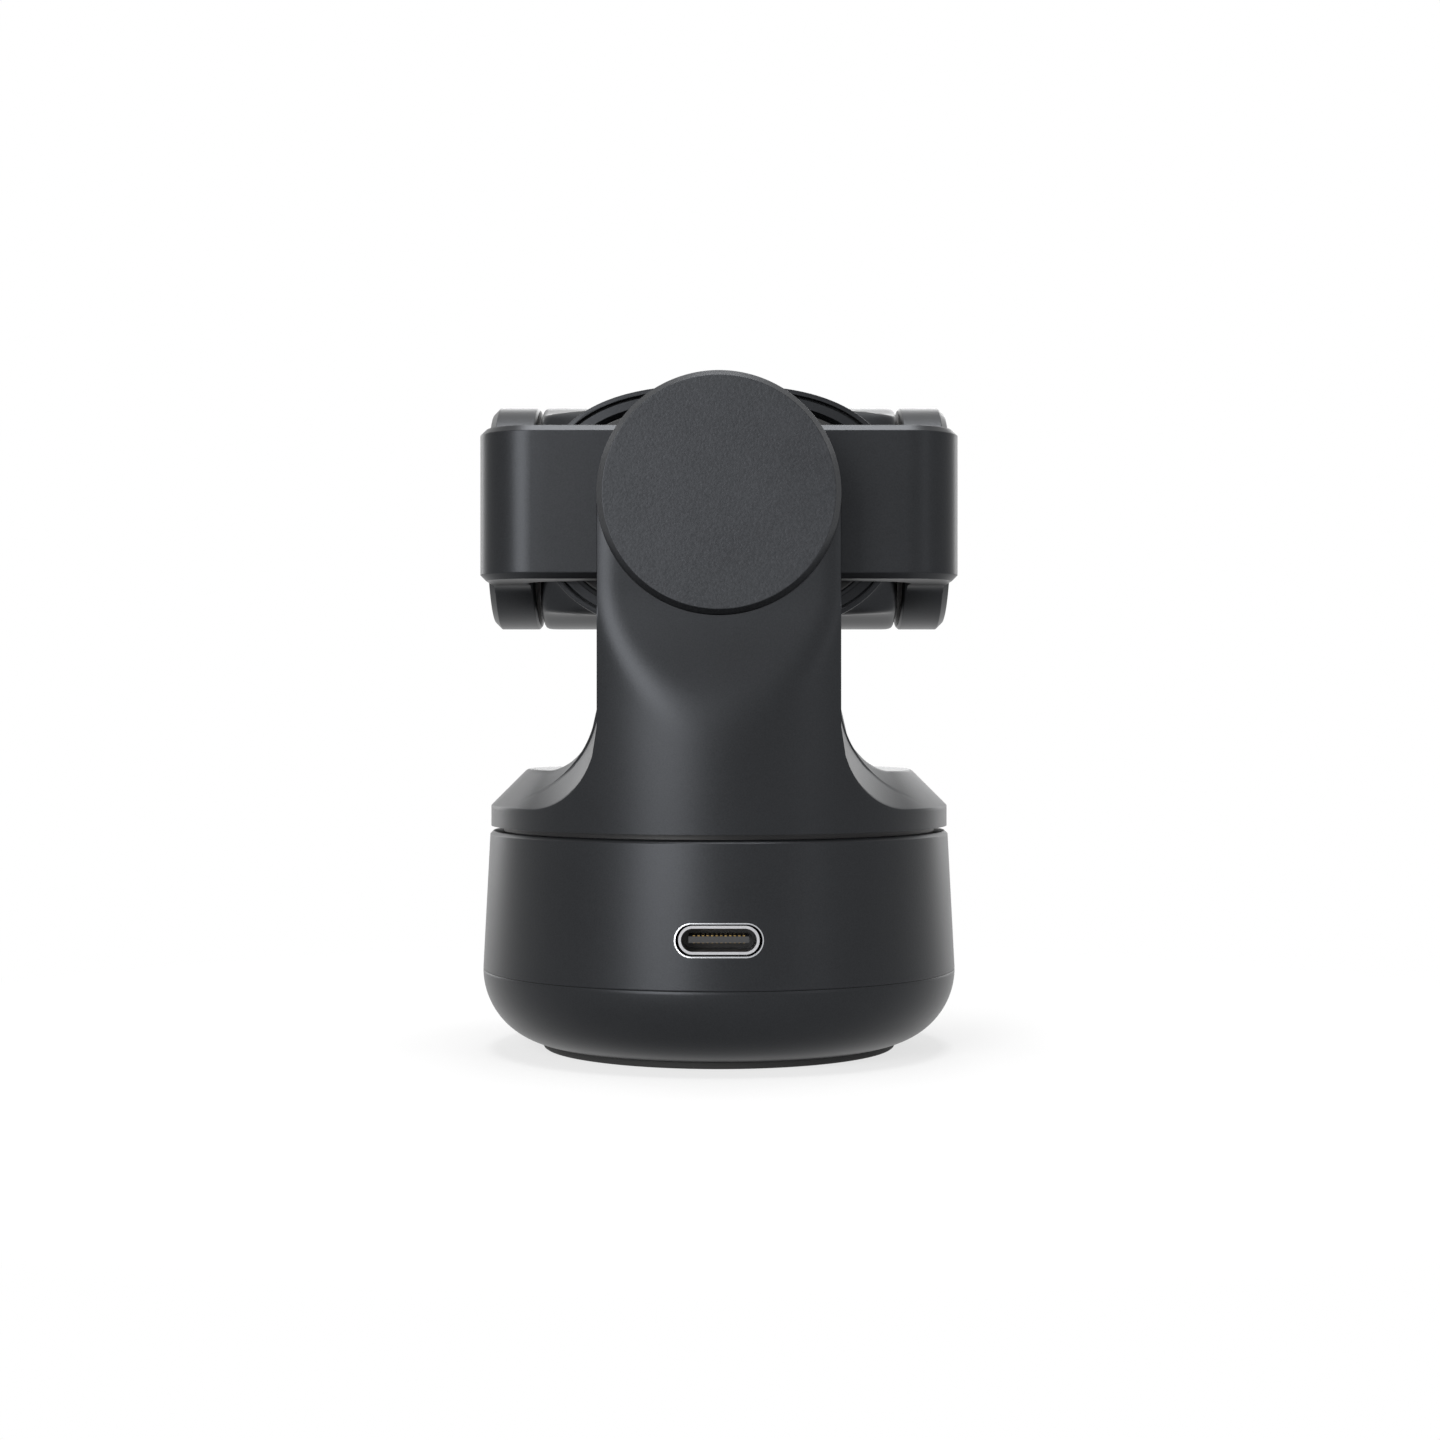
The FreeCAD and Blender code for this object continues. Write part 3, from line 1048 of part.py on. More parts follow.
def status_light():
    """Light guide in the panel, with a flange behind it."""
    start = FRONT_RIM_Y - PANEL_INSET - PANEL_T
    guide = roll_ring(LIGHT_R, 0, start - SLIP * 5, start + PANEL_T)
    flange = roll_ring(LIGHT_R * 2, 0, start - SLIP * 5, start)
    return at(fused([guide, flange]), LIGHT_X, 0, 0)


def microphones():
    start = FRONT_RIM_Y - PANEL_INSET - PANEL_T
    return [at(roll_ring(MIC_R, 0, start - MIC_T, start), side * MIC_X, 0, 0) for side in LEFT_AND_RIGHT]


def tilt_shaft(end_x):
    """Hollow shaft fixed in the head's side wall, made about Z."""
    radius = ARM_BEARING[0] - FIT
    low = HEAD_SEAT_X - SHAFT_FLANGE_T
    body = fused([ring(HEAD_FLANGE_R, 0, low, HEAD_SEAT_X), ring(radius, 0, low, end_x)])
    return body.cut(ring(SHAFT_BORE_R, 0, low, end_x))


def make_head():
    shaft_r = ARM_BEARING[0] - FIT
    bell = rotor_bell(shaft_r, TILT_MOTOR, TILT_BELL_OUT - ARM_BELL_PLATE_T, TILT_BELL_OUT)
    idle_end = TILT_BELL_OUT - ENCODER_T - SLIP
    export("head_shell", [head_shell()])
    export("head_rear_ring", [head_rear_ring()])
    export("head_rear_cover", [head_rear_cover()])
    export("sensor_board", [sensor_pcb()])
    export("heat_spreader", [heat_spreader()])
    export("image_sensor", [imager()])
    export("lens_mount", [lens_mount()])
    export("focus_magnet", [focus_magnet()])
    export("front_panel", [front_panel()])
    export("lens_trim_ring", [lens_trim()])
    export("lens_window", [lens_window()])
    export("status_light", [status_light()])
    export("microphones", microphones())
    export("tilt_drive_shaft", [along_x(tilt_shaft(TILT_BELL_OUT), 1)])
    export("tilt_idle_shaft", [along_x(tilt_shaft(idle_end), -1)])
    export("tilt_encoder_magnet", [along_x(ring(ENCODER_R, 0, idle_end, idle_end + ENCODER_T), -1)])
    export("tilt_magnet_ring", [along_x(magnet_ring(TILT_MOTOR), 1)])
    export("tilt_rotor_bell", [along_x(bell, 1)])


def make_focus_carrier():
    export("lens_barrel", [lens_barrel()])
    export("lens_elements", lens_elements())
    export("lens_retainer", [lens_retainer()])
    export("focus_coil", [focus_coil()])


os.makedirs("parts", exist_ok=True)
make_base()
make_pan()
make_yoke()
make_head()
make_focus_carrier()
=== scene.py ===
"""A small three-axis desk camera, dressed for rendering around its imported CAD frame.

The object stands on z = 0 with the pan axis on Z, and its lens looks along +Y. Shapes are worked out
in millimetres and written to meshes in metres.
"""
import json
import logging
import math
from dataclasses import dataclass
from enum import Enum
from typing import Any, Callable, Iterable, Mapping, Optional, Sequence

import bmesh
import bpy
from mathutils import Matrix, Vector


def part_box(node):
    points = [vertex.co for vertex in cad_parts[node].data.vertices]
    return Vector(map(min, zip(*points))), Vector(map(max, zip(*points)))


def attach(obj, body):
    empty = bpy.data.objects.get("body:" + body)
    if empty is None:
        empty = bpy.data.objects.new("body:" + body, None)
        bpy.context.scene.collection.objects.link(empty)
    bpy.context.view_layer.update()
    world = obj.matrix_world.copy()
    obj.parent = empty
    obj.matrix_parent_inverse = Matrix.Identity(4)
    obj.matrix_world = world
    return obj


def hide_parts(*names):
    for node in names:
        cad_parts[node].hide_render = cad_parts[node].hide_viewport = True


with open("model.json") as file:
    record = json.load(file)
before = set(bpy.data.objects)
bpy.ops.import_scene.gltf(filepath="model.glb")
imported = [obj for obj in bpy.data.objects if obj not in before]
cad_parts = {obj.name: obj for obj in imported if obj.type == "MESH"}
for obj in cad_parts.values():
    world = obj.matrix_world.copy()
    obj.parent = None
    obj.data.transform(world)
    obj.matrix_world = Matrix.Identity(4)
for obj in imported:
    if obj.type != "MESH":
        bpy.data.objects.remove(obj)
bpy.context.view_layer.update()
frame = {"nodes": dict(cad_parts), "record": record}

MM = 0.001
COAT_ROUGHNESS = 0.08
NOISE_ROUGHNESS = 0.55
SHARP_DEG = 32.0
MERGE_M = 1e-7
LOG = logging.getLogger("desk_camera")
SLOT_OF_NODE = {part["node"]: part["material_slot"] for part in frame["record"]["subparts"]}

Pair = tuple[float, float]
Triple = tuple[float, float, float]
Quad = tuple[float, float, float, float]


class Body(Enum):
    """The bodies that turn on each other."""

    BASE = "base"
    PAN = "pan"
    YOKE = "yoke"
    HEAD = "head"


class Axis(Enum):
    """Where a turned shape's own axis points."""

    UP = "up"
    BACK = "back"
    FORWARD = "forward"
    LEFT = "left"
    RIGHT = "right"


class Grain(Enum):
    """What the surface detail of a finish looks like."""

    BLASTED = "blasted"
    MOULDED = "moulded"
    TURNED = "turned"
    WOUND = "wound"
    BOARD = "board"
    CLEAR = "clear"


# ---- shader maths -------------------------------------------------------------------------------
class Val:
    """A shader value; an expression on it adds the Math nodes that work it out."""

    def __init__(self, tree: bpy.types.NodeTree, socket: bpy.types.NodeSocket) -> None:
        """Wrap a socket of a tree."""
        self.tree = tree
        self.socket = socket

    def _math(self, operation: str, other: Any = 0.0, swapped: bool = False, clamp: bool = False) -> "Val":
        """Add one Math node.

        Args:
            operation: The node's operation.
            other: The second value, a number or a Val.
            swapped: Whether the other value comes first.
            clamp: Whether the result is kept from 0 to 1.

        Returns:
            The node's result.
        """
        node = self.tree.nodes.new("ShaderNodeMath")
        node.operation = operation
        node.use_clamp = clamp
        pair = (other, self) if swapped else (self, other)
        for place, item in zip(node.inputs, pair):
            if isinstance(item, Val):
                self.tree.links.new(item.socket, place)
            else:
                place.default_value = item
        return Val(self.tree, node.outputs[0])

    def __add__(self, other: Any) -> "Val":
        """Sum."""
        return self._math("ADD", other)

    __radd__ = __add__

    def __sub__(self, other: Any) -> "Val":
        """Difference."""
        return self._math("SUBTRACT", other)

    def __rsub__(self, other: Any) -> "Val":
        """Difference from a number."""
        return self._math("SUBTRACT", other, swapped=True)

    def __mul__(self, other: Any) -> "Val":
        """Product."""
        return self._math("MULTIPLY", other)

    __rmul__ = __mul__

    def __pow__(self, other: Any) -> "Val":
        """Power."""
        return self._math("POWER", other)

    def sine(self) -> "Val":
        """Sine."""
        return self._math("SINE")

    def above(self, level: float) -> "Val":
        """One where the value is over a level, else zero."""
        return self._math("GREATER_THAN", level)

    def clamped(self) -> "Val":
        """The value kept from 0 to 1."""
        return self._math("ADD", 0.0, clamp=True)


class Shader:
    """A material under construction, around one Principled shader."""

    def __init__(self, name: str) -> None:
        """Start an empty material with its output and main shader."""
        self.material = bpy.data.materials.new(name)
        self.material.use_nodes = True
        self.tree = self.material.node_tree
        self.tree.nodes.clear()
        self.output = self.node("ShaderNodeOutputMaterial")
        self.main = self.node("ShaderNodeBsdfPrincipled")
        self.tree.links.new(self.main.outputs[0], self.output.inputs["Surface"])
        self.place = self.node("ShaderNodeTexCoord").outputs["Object"]

    def node(self, kind: str, settings: Optional[Mapping[str, Any]] = None,
             inputs: Optional[Mapping[Any, Any]] = None) -> bpy.types.Node:
        """Add a node.

        Args:
            kind: The node's type.
            settings: Its attributes, set first; "stops" are a ramp's (place, colour) pairs.
            inputs: Values or sources of its sockets, by name or number.

        Returns:
            The node.
        """
        node = self.tree.nodes.new(kind)
        for name, value in (settings or {}).items():
            if name == "stops":
                ramp = node.color_ramp
                while len(ramp.elements) < len(value):
                    ramp.elements.new(1.0)
                for element, (where, colour) in zip(ramp.elements, value):
                    element.position = where
                    element.color = (*colour, 1.0)
            else:
                setattr(node, name, value)
        for name, value in (inputs or {}).items():
            self.feed(node.inputs[name], value)
        return node

    def feed(self, place: bpy.types.NodeSocket, value: Any) -> None:
        """Give a socket a constant, a Val or another node's socket."""
        if isinstance(value, Val):
            self.tree.links.new(value.socket, place)
        elif isinstance(value, bpy.types.NodeSocket):
            self.tree.links.new(value, place)
        else:
            place.default_value = value

    def val(self, socket: bpy.types.NodeSocket) -> Val:
        """Wrap a socket for maths."""
        return Val(self.tree, socket)

    def axes(self) -> tuple[Val, Val, Val]:
        """The three object coordinates, in metres."""
        split = self.node("ShaderNodeSeparateXYZ", inputs={0: self.place})
        return self.val(split.outputs[0]), self.val(split.outputs[1]), self.val(split.outputs[2])

    def noise(self, feature: float, detail: float = 2.0, source: Any = None) -> Val:
        """Noise from 0 to 1.

        Args:
            feature: Size of its features in millimetres.
            detail: Octaves.
            source: Coordinates, or None for the object's.

        Returns:
            The noise value.
        """
        where = self.place if source is None else source
        made = self.node("ShaderNodeTexNoise", inputs={
            "Vector": where, "Scale": 1.0 / (feature * MM), "Detail": detail, "Roughness": NOISE_ROUGHNESS})
        return self.val(made.outputs[0])

    def mixed(self, share: Any, first: Triple, second: Triple) -> bpy.types.NodeSocket:
        """A colour between two, by a share."""
        blend = self.node("ShaderNodeMix", {"data_type": "RGBA"})
        self.feed(blend.inputs[0], share)
        blend.inputs[6].default_value = (*first, 1.0)
        blend.inputs[7].default_value = (*second, 1.0)
        return blend.outputs[2]

    def bump(self, height: Any, depth: float, strength: float = 1.0) -> bpy.types.NodeSocket:
        """A normal from a height in 0 to 1 that stands for a depth in millimetres."""
        made = self.node("ShaderNodeBump", inputs={"Strength": strength, "Distance": depth * MM})
        self.feed(made.inputs["Height"], height)
        return made.outputs[0]


# ---- finishes -----------------------------------------------------------------------------------
@dataclass(frozen=True)
class Finish:
    """A surface finish, built as one node material.

    Attributes:
        colour: Base colour, linear.
        second: The colour that it varies towards.
        metallic: Metallic share.
        roughness: Mean roughness.
        spread: How far the roughness varies.
        grain: The kind of detail.
        feature: Size of the finest detail in millimetres.
        depth: Height of that detail in millimetres.
        coat: Clear coat weight.
        transmission: Share of light that passes through.
        ior: Refractive index.
        glow: Emission strength.
    """

    colour: Triple
    second: Triple
    metallic: float = 0.0
    roughness: float = 0.5
    spread: float = 0.06
    grain: Grain = Grain.MOULDED
    feature: float = 0.2
    depth: float = 0.01
    coat: float = 0.0
    transmission: float = 0.0
    ior: float = 1.5
    glow: float = 0.0

    def build(self, name: str) -> bpy.types.Material:
        """Make the material."""
        shader = Shader(name)
        main = shader.main
        main.inputs["Metallic"].default_value = self.metallic
        main.inputs["Coat Weight"].default_value = self.coat
        main.inputs["Coat Roughness"].default_value = COAT_ROUGHNESS
        main.inputs["Transmission Weight"].default_value = self.transmission
        main.inputs["IOR"].default_value = self.ior
        main.inputs["Emission Color"].default_value = (*self.second, 1.0)
        main.inputs["Emission Strength"].default_value = self.glow
        broad = shader.noise(9.0, 3.0)
        fine = shader.noise(self.feature, 2.0)
        share, height = self.detail(shader, broad, fine)
        shader.feed(main.inputs["Base Color"], shader.mixed(share, self.colour, self.second))
        rough = self.roughness + (broad - 0.5) * self.spread + (fine - 0.5) * self.spread
        shader.feed(main.inputs["Roughness"], rough.clamped())
        if self.grain is not Grain.CLEAR:
            shader.feed(main.inputs["Normal"], shader.bump(height, self.depth))
        return shader.material

    def detail(self, shader: Shader, broad: Val, fine: Val) -> tuple[Val, Val]:
        """The share of the second colour and the height of the relief.

        Args:
            shader: The material under construction.
            broad: Noise of a few millimetres.
            fine: Noise at the finish's own scale.

        Returns:
            The colour share and the height, each from 0 to 1.
        """
        across, along, upward = shader.axes()
        if self.grain is Grain.BLASTED:
            coarse = shader.noise(self.feature * 2.6, 1.0)
            height = fine * 0.65 + coarse * 0.35
            speck = ((fine - 0.5) * 2.2 + 0.5).clamped()
            return (speck * 0.55 + broad * 0.45).clamped(), height
        if self.grain is Grain.TURNED:
            stretched = shader.node("ShaderNodeMapping", inputs={0: shader.place, 3: (1.0, 1.0, 14.0)})
            lines = shader.noise(self.feature * 4, 2.0, stretched.outputs[0])
            return (lines * 0.7 + broad * 0.3).clamped(), lines
        if self.grain is Grain.WOUND:
            turn = (across + along + upward * 1.3) * (2 * math.pi / (self.feature * MM))
            strands = (turn + broad * 2.0).sine() * 0.5 + 0.5
            # The darker second colour goes into the low grooves between the turns of wire: painted shade in
            # the grooves, on top of the bump relief.
            return (1.0 - strands ** 0.6).clamped(), strands
        if self.grain is Grain.BOARD:
            cells = shader.node("ShaderNodeTexBrick", {"offset": 0.37}, {
                "Vector": shader.place, "Scale": 1.0 / (1.6 * MM), "Mortar Size": 0.035,
                "Color1": (0.0, 0.0, 0.0, 1.0), "Color2": (0.12, 0.12, 0.12, 1.0),
                "Mortar": (1.0, 1.0, 1.0, 1.0)})
            tracks = shader.val(cells.outputs[0]) * broad.above(0.47)
            return (tracks * 0.8 + fine * 0.15).clamped(), tracks
        return (broad * 0.5 + fine * 0.5).clamped(), fine


def grey(level: float, cool: float = 1.1) -> Triple:
    """A slightly cool grey of a linear level."""
    return (level, level * (1 + (cool - 1) * 0.35), level * cool)


FINISHES: dict[str, Finish] = {
    "dark_aluminium": Finish(grey(0.018, 1.16), grey(0.027, 1.16),
                             0.88, 0.36, 0.05, Grain.BLASTED, 0.16, 0.007),
    "blasted_cap": Finish(grey(0.023, 1.16), grey(0.042, 1.16), 0.85, 0.42, 0.10, Grain.BLASTED, 0.24, 0.030),
    "black_plastic": Finish((0.012, 0.012, 0.013), (0.020, 0.020, 0.022),
                            0.0, 0.50, feature=0.3, depth=0.012),
    "black_rubber": Finish((0.016, 0.016, 0.016), (0.028, 0.028, 0.028), 0.0, 0.82, feature=0.4, depth=0.03),
    "bright_rim": Finish((0.55, 0.56, 0.58), (0.40, 0.41, 0.43), 1.0, 0.26, 0.1, Grain.TURNED, 0.12, 0.004),
    "steel": Finish((0.52, 0.52, 0.53), (0.36, 0.36, 0.38), 1.0, 0.32, 0.1, Grain.TURNED, 0.2, 0.006),
    "brass": Finish((0.62, 0.44, 0.16), (0.42, 0.28, 0.09), 1.0, 0.3, 0.1, Grain.TURNED, 0.2, 0.006),
    "board_green": Finish((0.008, 0.055, 0.026), (0.035, 0.16, 0.07),
                          0.0, 0.38, 0.06, Grain.BOARD, 0.3, 0.02, coat=0.4),
    "chip_black": Finish((0.012, 0.012, 0.013), (0.022, 0.022, 0.024), 0.0, 0.55, feature=0.12, depth=0.01),
    "bearing_steel": Finish((0.48, 0.49, 0.50), (0.34, 0.35, 0.36),
                            1.0, 0.22, 0.08, Grain.TURNED, 0.2, 0.004),
    "core_steel": Finish((0.20, 0.20, 0.21), (0.12, 0.12, 0.13), 1.0, 0.45, 0.1, Grain.TURNED, 0.08, 0.02),
    # Its darker second colour is painted shade in the grooves between the turns.
    "copper_winding": Finish((0.62, 0.23, 0.09), (0.20, 0.06, 0.02),
                             0.9, 0.34, 0.06, Grain.WOUND, 0.22, 0.06),
    "magnet_nickel": Finish((0.42, 0.41, 0.39), (0.30, 0.29, 0.28), 1.0, 0.28, 0.1, feature=0.3, depth=0.008),
    "smoked_cover": Finish((0.006, 0.006, 0.007), (0.011, 0.011, 0.012),
                           0.0, 0.30, 0.05, feature=0.5, depth=0.004, coat=0.25),
    "panel_gloss": Finish((0.004, 0.004, 0.005), (0.007, 0.007, 0.008),
                          0.0, 0.14, 0.04, feature=0.6, depth=0.002, coat=0.6),
    "clear_glass": Finish((0.96, 0.97, 0.98), (0.92, 0.94, 0.96),
                          0.0, 0.02, 0.01, Grain.CLEAR, transmission=1.0),
    "lens_glass": Finish((0.90, 0.93, 0.97), (0.78, 0.80, 0.92),
                         0.0, 0.02, 0.01, Grain.CLEAR, coat=1.0, transmission=0.95, ior=1.62),
    "light_guide": Finish((0.62, 0.64, 0.66), (0.52, 0.54, 0.56),
                          0.0, 0.35, transmission=0.35, feature=0.3, depth=0.004),
    "sensor_die": Finish((0.03, 0.05, 0.06), (0.08, 0.05, 0.11),
                         0.3, 0.12, 0.04, Grain.BOARD, 0.1, 0.002, coat=0.8),
    "heat_aluminium": Finish((0.50, 0.51, 0.52), (0.38, 0.39, 0.40),
                             1.0, 0.42, 0.1, Grain.BLASTED, 0.2, 0.01),
    "socket_plastic": Finish((0.012, 0.012, 0.013), (0.024, 0.024, 0.026),
                             0.0, 0.45, feature=0.1, depth=0.006),
    "contact_gold": Finish((0.75, 0.52, 0.20), (0.55, 0.36, 0.12), 1.0, 0.24, 0.08, Grain.TURNED, 0.1, 0.002),
    "inner_dark": Finish((0.010, 0.010, 0.011), (0.016, 0.016, 0.017), 0.2, 0.6, feature=0.2, depth=0.01),
}


class Paints:
    """The materials, each made once."""

    def __init__(self) -> None:
        """Start with none made."""
        self.made: dict[str, bpy.types.Material] = {}

    def get(self, name: str) -> bpy.types.Material:
        """The material of a finish."""
        if name not in self.made:
            self.made[name] = FINISHES[name].build(name)
        return self.made[name]


PAINTS = Paints()


# ---- shapes -------------------------------------------------------------------------------------
def turned(axis: Axis, origin: Triple = (0.0, 0.0, 0.0)) -> Matrix:
    """The placing of a shape made about Z.

    Args:
        axis: Where its +Z is to point.
        origin: Where its origin is to lie, in millimetres.

    Returns:
        The matrix, in millimetres.
    """
    aims = {Axis.UP: (0, 0, 1), Axis.BACK: (0, -1, 0), Axis.FORWARD: (0, 1, 0), Axis.LEFT: (-1, 0, 0),
            Axis.RIGHT: (1, 0, 0)}
    aim = Vector(aims[axis])
    turn = Vector((0, 0, 1)).rotation_difference(aim).to_matrix().to_4x4()
    return Matrix.Translation(Vector(origin)) @ turn


def rounded_path(corners: Sequence[Triple], closed: bool, steps: int = 4,
                 support: float = 0.06) -> list[Pair]:
    """A path whose corners are rounded, with a support point beyond each rounding.

    Args:
        corners: (x, y, radius) of each corner; a radius of 0 keeps it sharp.
        closed: Whether the path closes.
        steps: Pieces of each rounding.
        support: Distance of the support points, which keep the flats' shading flat.

    Returns:
        The path's points.
    """
    path: list[Pair] = []
    count = len(corners)
    for index, (x, y, radius) in enumerate(corners):
        here = Vector((x, y))
        inner = closed or 0 < index < count - 1
        before = Vector(corners[index - 1][:2])
        after = Vector(corners[(index + 1) % count][:2])
        if radius <= 0 or not inner:
            path.append((x, y))
            continue
        back = (before - here).normalized()
        ahead = (after - here).normalized()
        half = math.acos(max(-1.0, min(1.0, back.dot(ahead)))) / 2
        reach = radius / math.tan(half)
        centre = here + (back + ahead).normalized() * (radius / math.sin(half))
        start = here + back * reach
        end = here + ahead * reach
        extra = min(support, (before - start).length * 0.4)
        path.append(tuple(start + back * extra))
        first = (start - centre).normalized()
        last = (end - centre).normalized()
        swing = math.pi - 2 * half
        sense = 1 if first.cross(last) > 0 else -1
        for step in range(steps + 1):
            turn = Matrix.Rotation(sense * swing * step / steps, 2)
            path.append(tuple(centre + (turn @ first) * radius))
        extra = min(support, (after - end).length * 0.4)
        path.append(tuple(end + ahead * extra))
    return path


def arc_points(centre: Pair, radius: float, start_deg: float, end_deg: float, steps: int) -> list[Pair]:
    """Points on an arc, both ends included."""
    points = []
    for step in range(steps + 1):
        angle = math.radians(start_deg + (end_deg - start_deg) * step / steps)
        points.append((centre[0] + radius * math.cos(angle), centre[1] + radius * math.sin(angle)))
    return points


def mesh_object(name: str, points: Sequence[Sequence[float]], faces: Sequence[Sequence[int]],
                place: Optional[Matrix] = None, sharp_deg: float = SHARP_DEG) -> bpy.types.Object:
    """A mesh object from points in millimetres, merged, closed and facing outwards.

    Args:
        name: The object's name.
        points: Its vertices.
        faces: Its faces.
        place: Where it goes, in millimetres.
        sharp_deg: The angle over which an edge is shaded sharp.

    Returns:
        The object, linked to the scene.
    """
    build = bmesh.new()
    matrix = place or Matrix.Identity(4)
    verts = [build.verts.new((matrix @ Vector(p)) * MM) for p in points]
    for face in faces:
        if len(set(face)) >= 3:
            build.faces.new([verts[i] for i in face])
    bmesh.ops.remove_doubles(build, verts=build.verts, dist=MERGE_M)
    bmesh.ops.dissolve_degenerate(build, edges=build.edges, dist=1e-8)
    bmesh.ops.recalc_face_normals(build, faces=build.faces)
    mesh = bpy.data.meshes.new(name)
    build.to_mesh(mesh)
    build.free()
    piece = bpy.data.objects.new(name, mesh)
    bpy.context.scene.collection.objects.link(piece)
    smooth(piece, sharp_deg)
    return piece


def smooth(piece: bpy.types.Object, sharp_deg: float = SHARP_DEG) -> None:
    """Shade a mesh smooth but for its edges over an angle."""
    piece.data.polygons.foreach_set("use_smooth", [True] * len(piece.data.polygons))
    piece.data.set_sharp_from_angle(angle=math.radians(sharp_deg))


def evaluated(piece: bpy.types.Object, name: str) -> bpy.types.Object:
    """The object with its modifiers made real, as a plain mesh object of that name."""
    graph = bpy.context.evaluated_depsgraph_get()
    mesh = bpy.data.meshes.new_from_object(piece.evaluated_get(graph))
    bpy.data.objects.remove(piece)
    done = bpy.data.objects.new(name, mesh)
    bpy.context.scene.collection.objects.link(done)
    mesh.name = name
    return done


def lofted(rings: Sequence[Sequence[Sequence[float]]], closed_ring: bool, looped: bool,
           capped: bool) -> tuple[list[Sequence[float]], list[list[int]]]:
    """Points and faces of a skin over rings of equal length.

    Args:
        rings: The rings, each a list of points.
        closed_ring: Whether each ring closes on itself.
        looped: Whether the last ring joins the first.
        capped: Whether the first and last rings are filled.

    Returns:
        The points and the faces.
    """
    width = len(rings[0])
    points = [p for ring in rings for p in ring]
    faces: list[list[int]] = []
    spans = len(rings) if looped else len(rings) - 1
    for row in range(spans):
        low = row * width
        high = ((row + 1) % len(rings)) * width
        for step in range(width if closed_ring else width - 1):
            after = (step + 1) % width
            faces.append([low + step, low + after, high + after, high + step])
    if capped:
        faces.append(list(range(width)))
        faces.append(list(range(len(points) - width, len(points))))
    return points, faces


def prism(name: str, outline: Sequence[Pair], low: float, high: float, place: Optional[Matrix] = None,
          edge: float = 0.0) -> bpy.types.Object:
    """A prism over a flat outline, with small chamfers at both ends.

    Args:
        name: The object's name.
        outline: The outline, counter-clockwise.
        low: Its bottom.
        high: Its top.
        place: Where it goes.
        edge: Size of the chamfers.

    Returns:
        The object.
    """
    def level(inset: float, height: float) -> list[Triple]:
        """The outline moved inwards, at a height."""
        moved = []
        for index, point in enumerate(outline):
            before = Vector(outline[index - 1])
            after = Vector(outline[(index + 1) % len(outline)])
            along = (after - before).normalized()
            moved.append((point[0] - along.y * inset, point[1] + along.x * inset, height))
        return moved

    rings = [level(0, low), level(0, high)]
    if edge > 0:
        small = edge * 0.18
        corners = [(edge + small, low, 0), (edge, low, small), (0, low + edge, small),
                   (0, high - edge, small), (edge, high, small), (edge + small, high, 0)]
        path = rounded_path(corners, False, 3, small)
        rings = [level(inset, height) for inset, height in path]
    points, faces = lofted(rings, True, False, True)
    return mesh_object(name, points, faces, place)


def slot_outline(width: float, height: float, steps: int = 12) -> list[Pair]:
    """A round-ended slot, wider than high, about the origin."""
    radius = height / 2
    half = width / 2 - radius
    right = arc_points((half, 0), radius, -90, 90, steps)
    return right + arc_points((-half, 0), radius, 90, 270, steps)


def combined(piece: bpy.types.Object, tools: Iterable[bpy.types.Object], operation: str) -> bpy.types.Object:
    """Cut tools from a piece, or join them to it, and remove the tools.

    Args:
        piece: The piece, a closed mesh.
        tools: Closed meshes.
        operation: "DIFFERENCE" or "UNION".

    Returns:
        The result, under the piece's name.
    """
    name = piece.name
    used = list(tools)
    for tool in used:
        change = piece.modifiers.new(tool.name, "BOOLEAN")
        change.operation = operation
        change.solver = "EXACT"
        change.object = tool
    done = evaluated(piece, name + "_made")
    for tool in used:
        bpy.data.objects.remove(tool)
    done.name = name
    tidy = bmesh.new()
    tidy.from_mesh(done.data)
    bmesh.ops.remove_doubles(tidy, verts=tidy.verts, dist=2e-7)
    bmesh.ops.dissolve_degenerate(tidy, edges=tidy.edges, dist=MERGE_M)
    tidy.to_mesh(done.data)
    tidy.free()
    smooth(done)
    return done


def finished(piece: bpy.types.Object, body: Body, slot: str, replaced: Sequence[str] = (),
             paint: str = "") -> bpy.types.Object:
    """Paint a piece, put it on its body and hide the CAD nodes that it stands for.

    Args:
        piece: The piece, in place.
        body: The body that it rides on.
        slot: The record's material slot.
        replaced: The CAD nodes that it stands for.
        paint: The finish, where it isn't the slot's own.

    Returns:
        The piece.
    """
    piece.data.materials.clear()
    piece.data.materials.append(PAINTS.get(paint or slot))
    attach(piece, body.value)
    if replaced:
        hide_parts(*replaced)
    LOG.info("%-22s %7d faces on %s", piece.name, len(piece.data.polygons), body.value)
    return piece


def mm_box(node: str) -> tuple[Triple, Triple]:
    """A CAD node's lowest and highest corners, in millimetres."""
    low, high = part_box(node)
    return tuple(low / MM), tuple(high / MM)


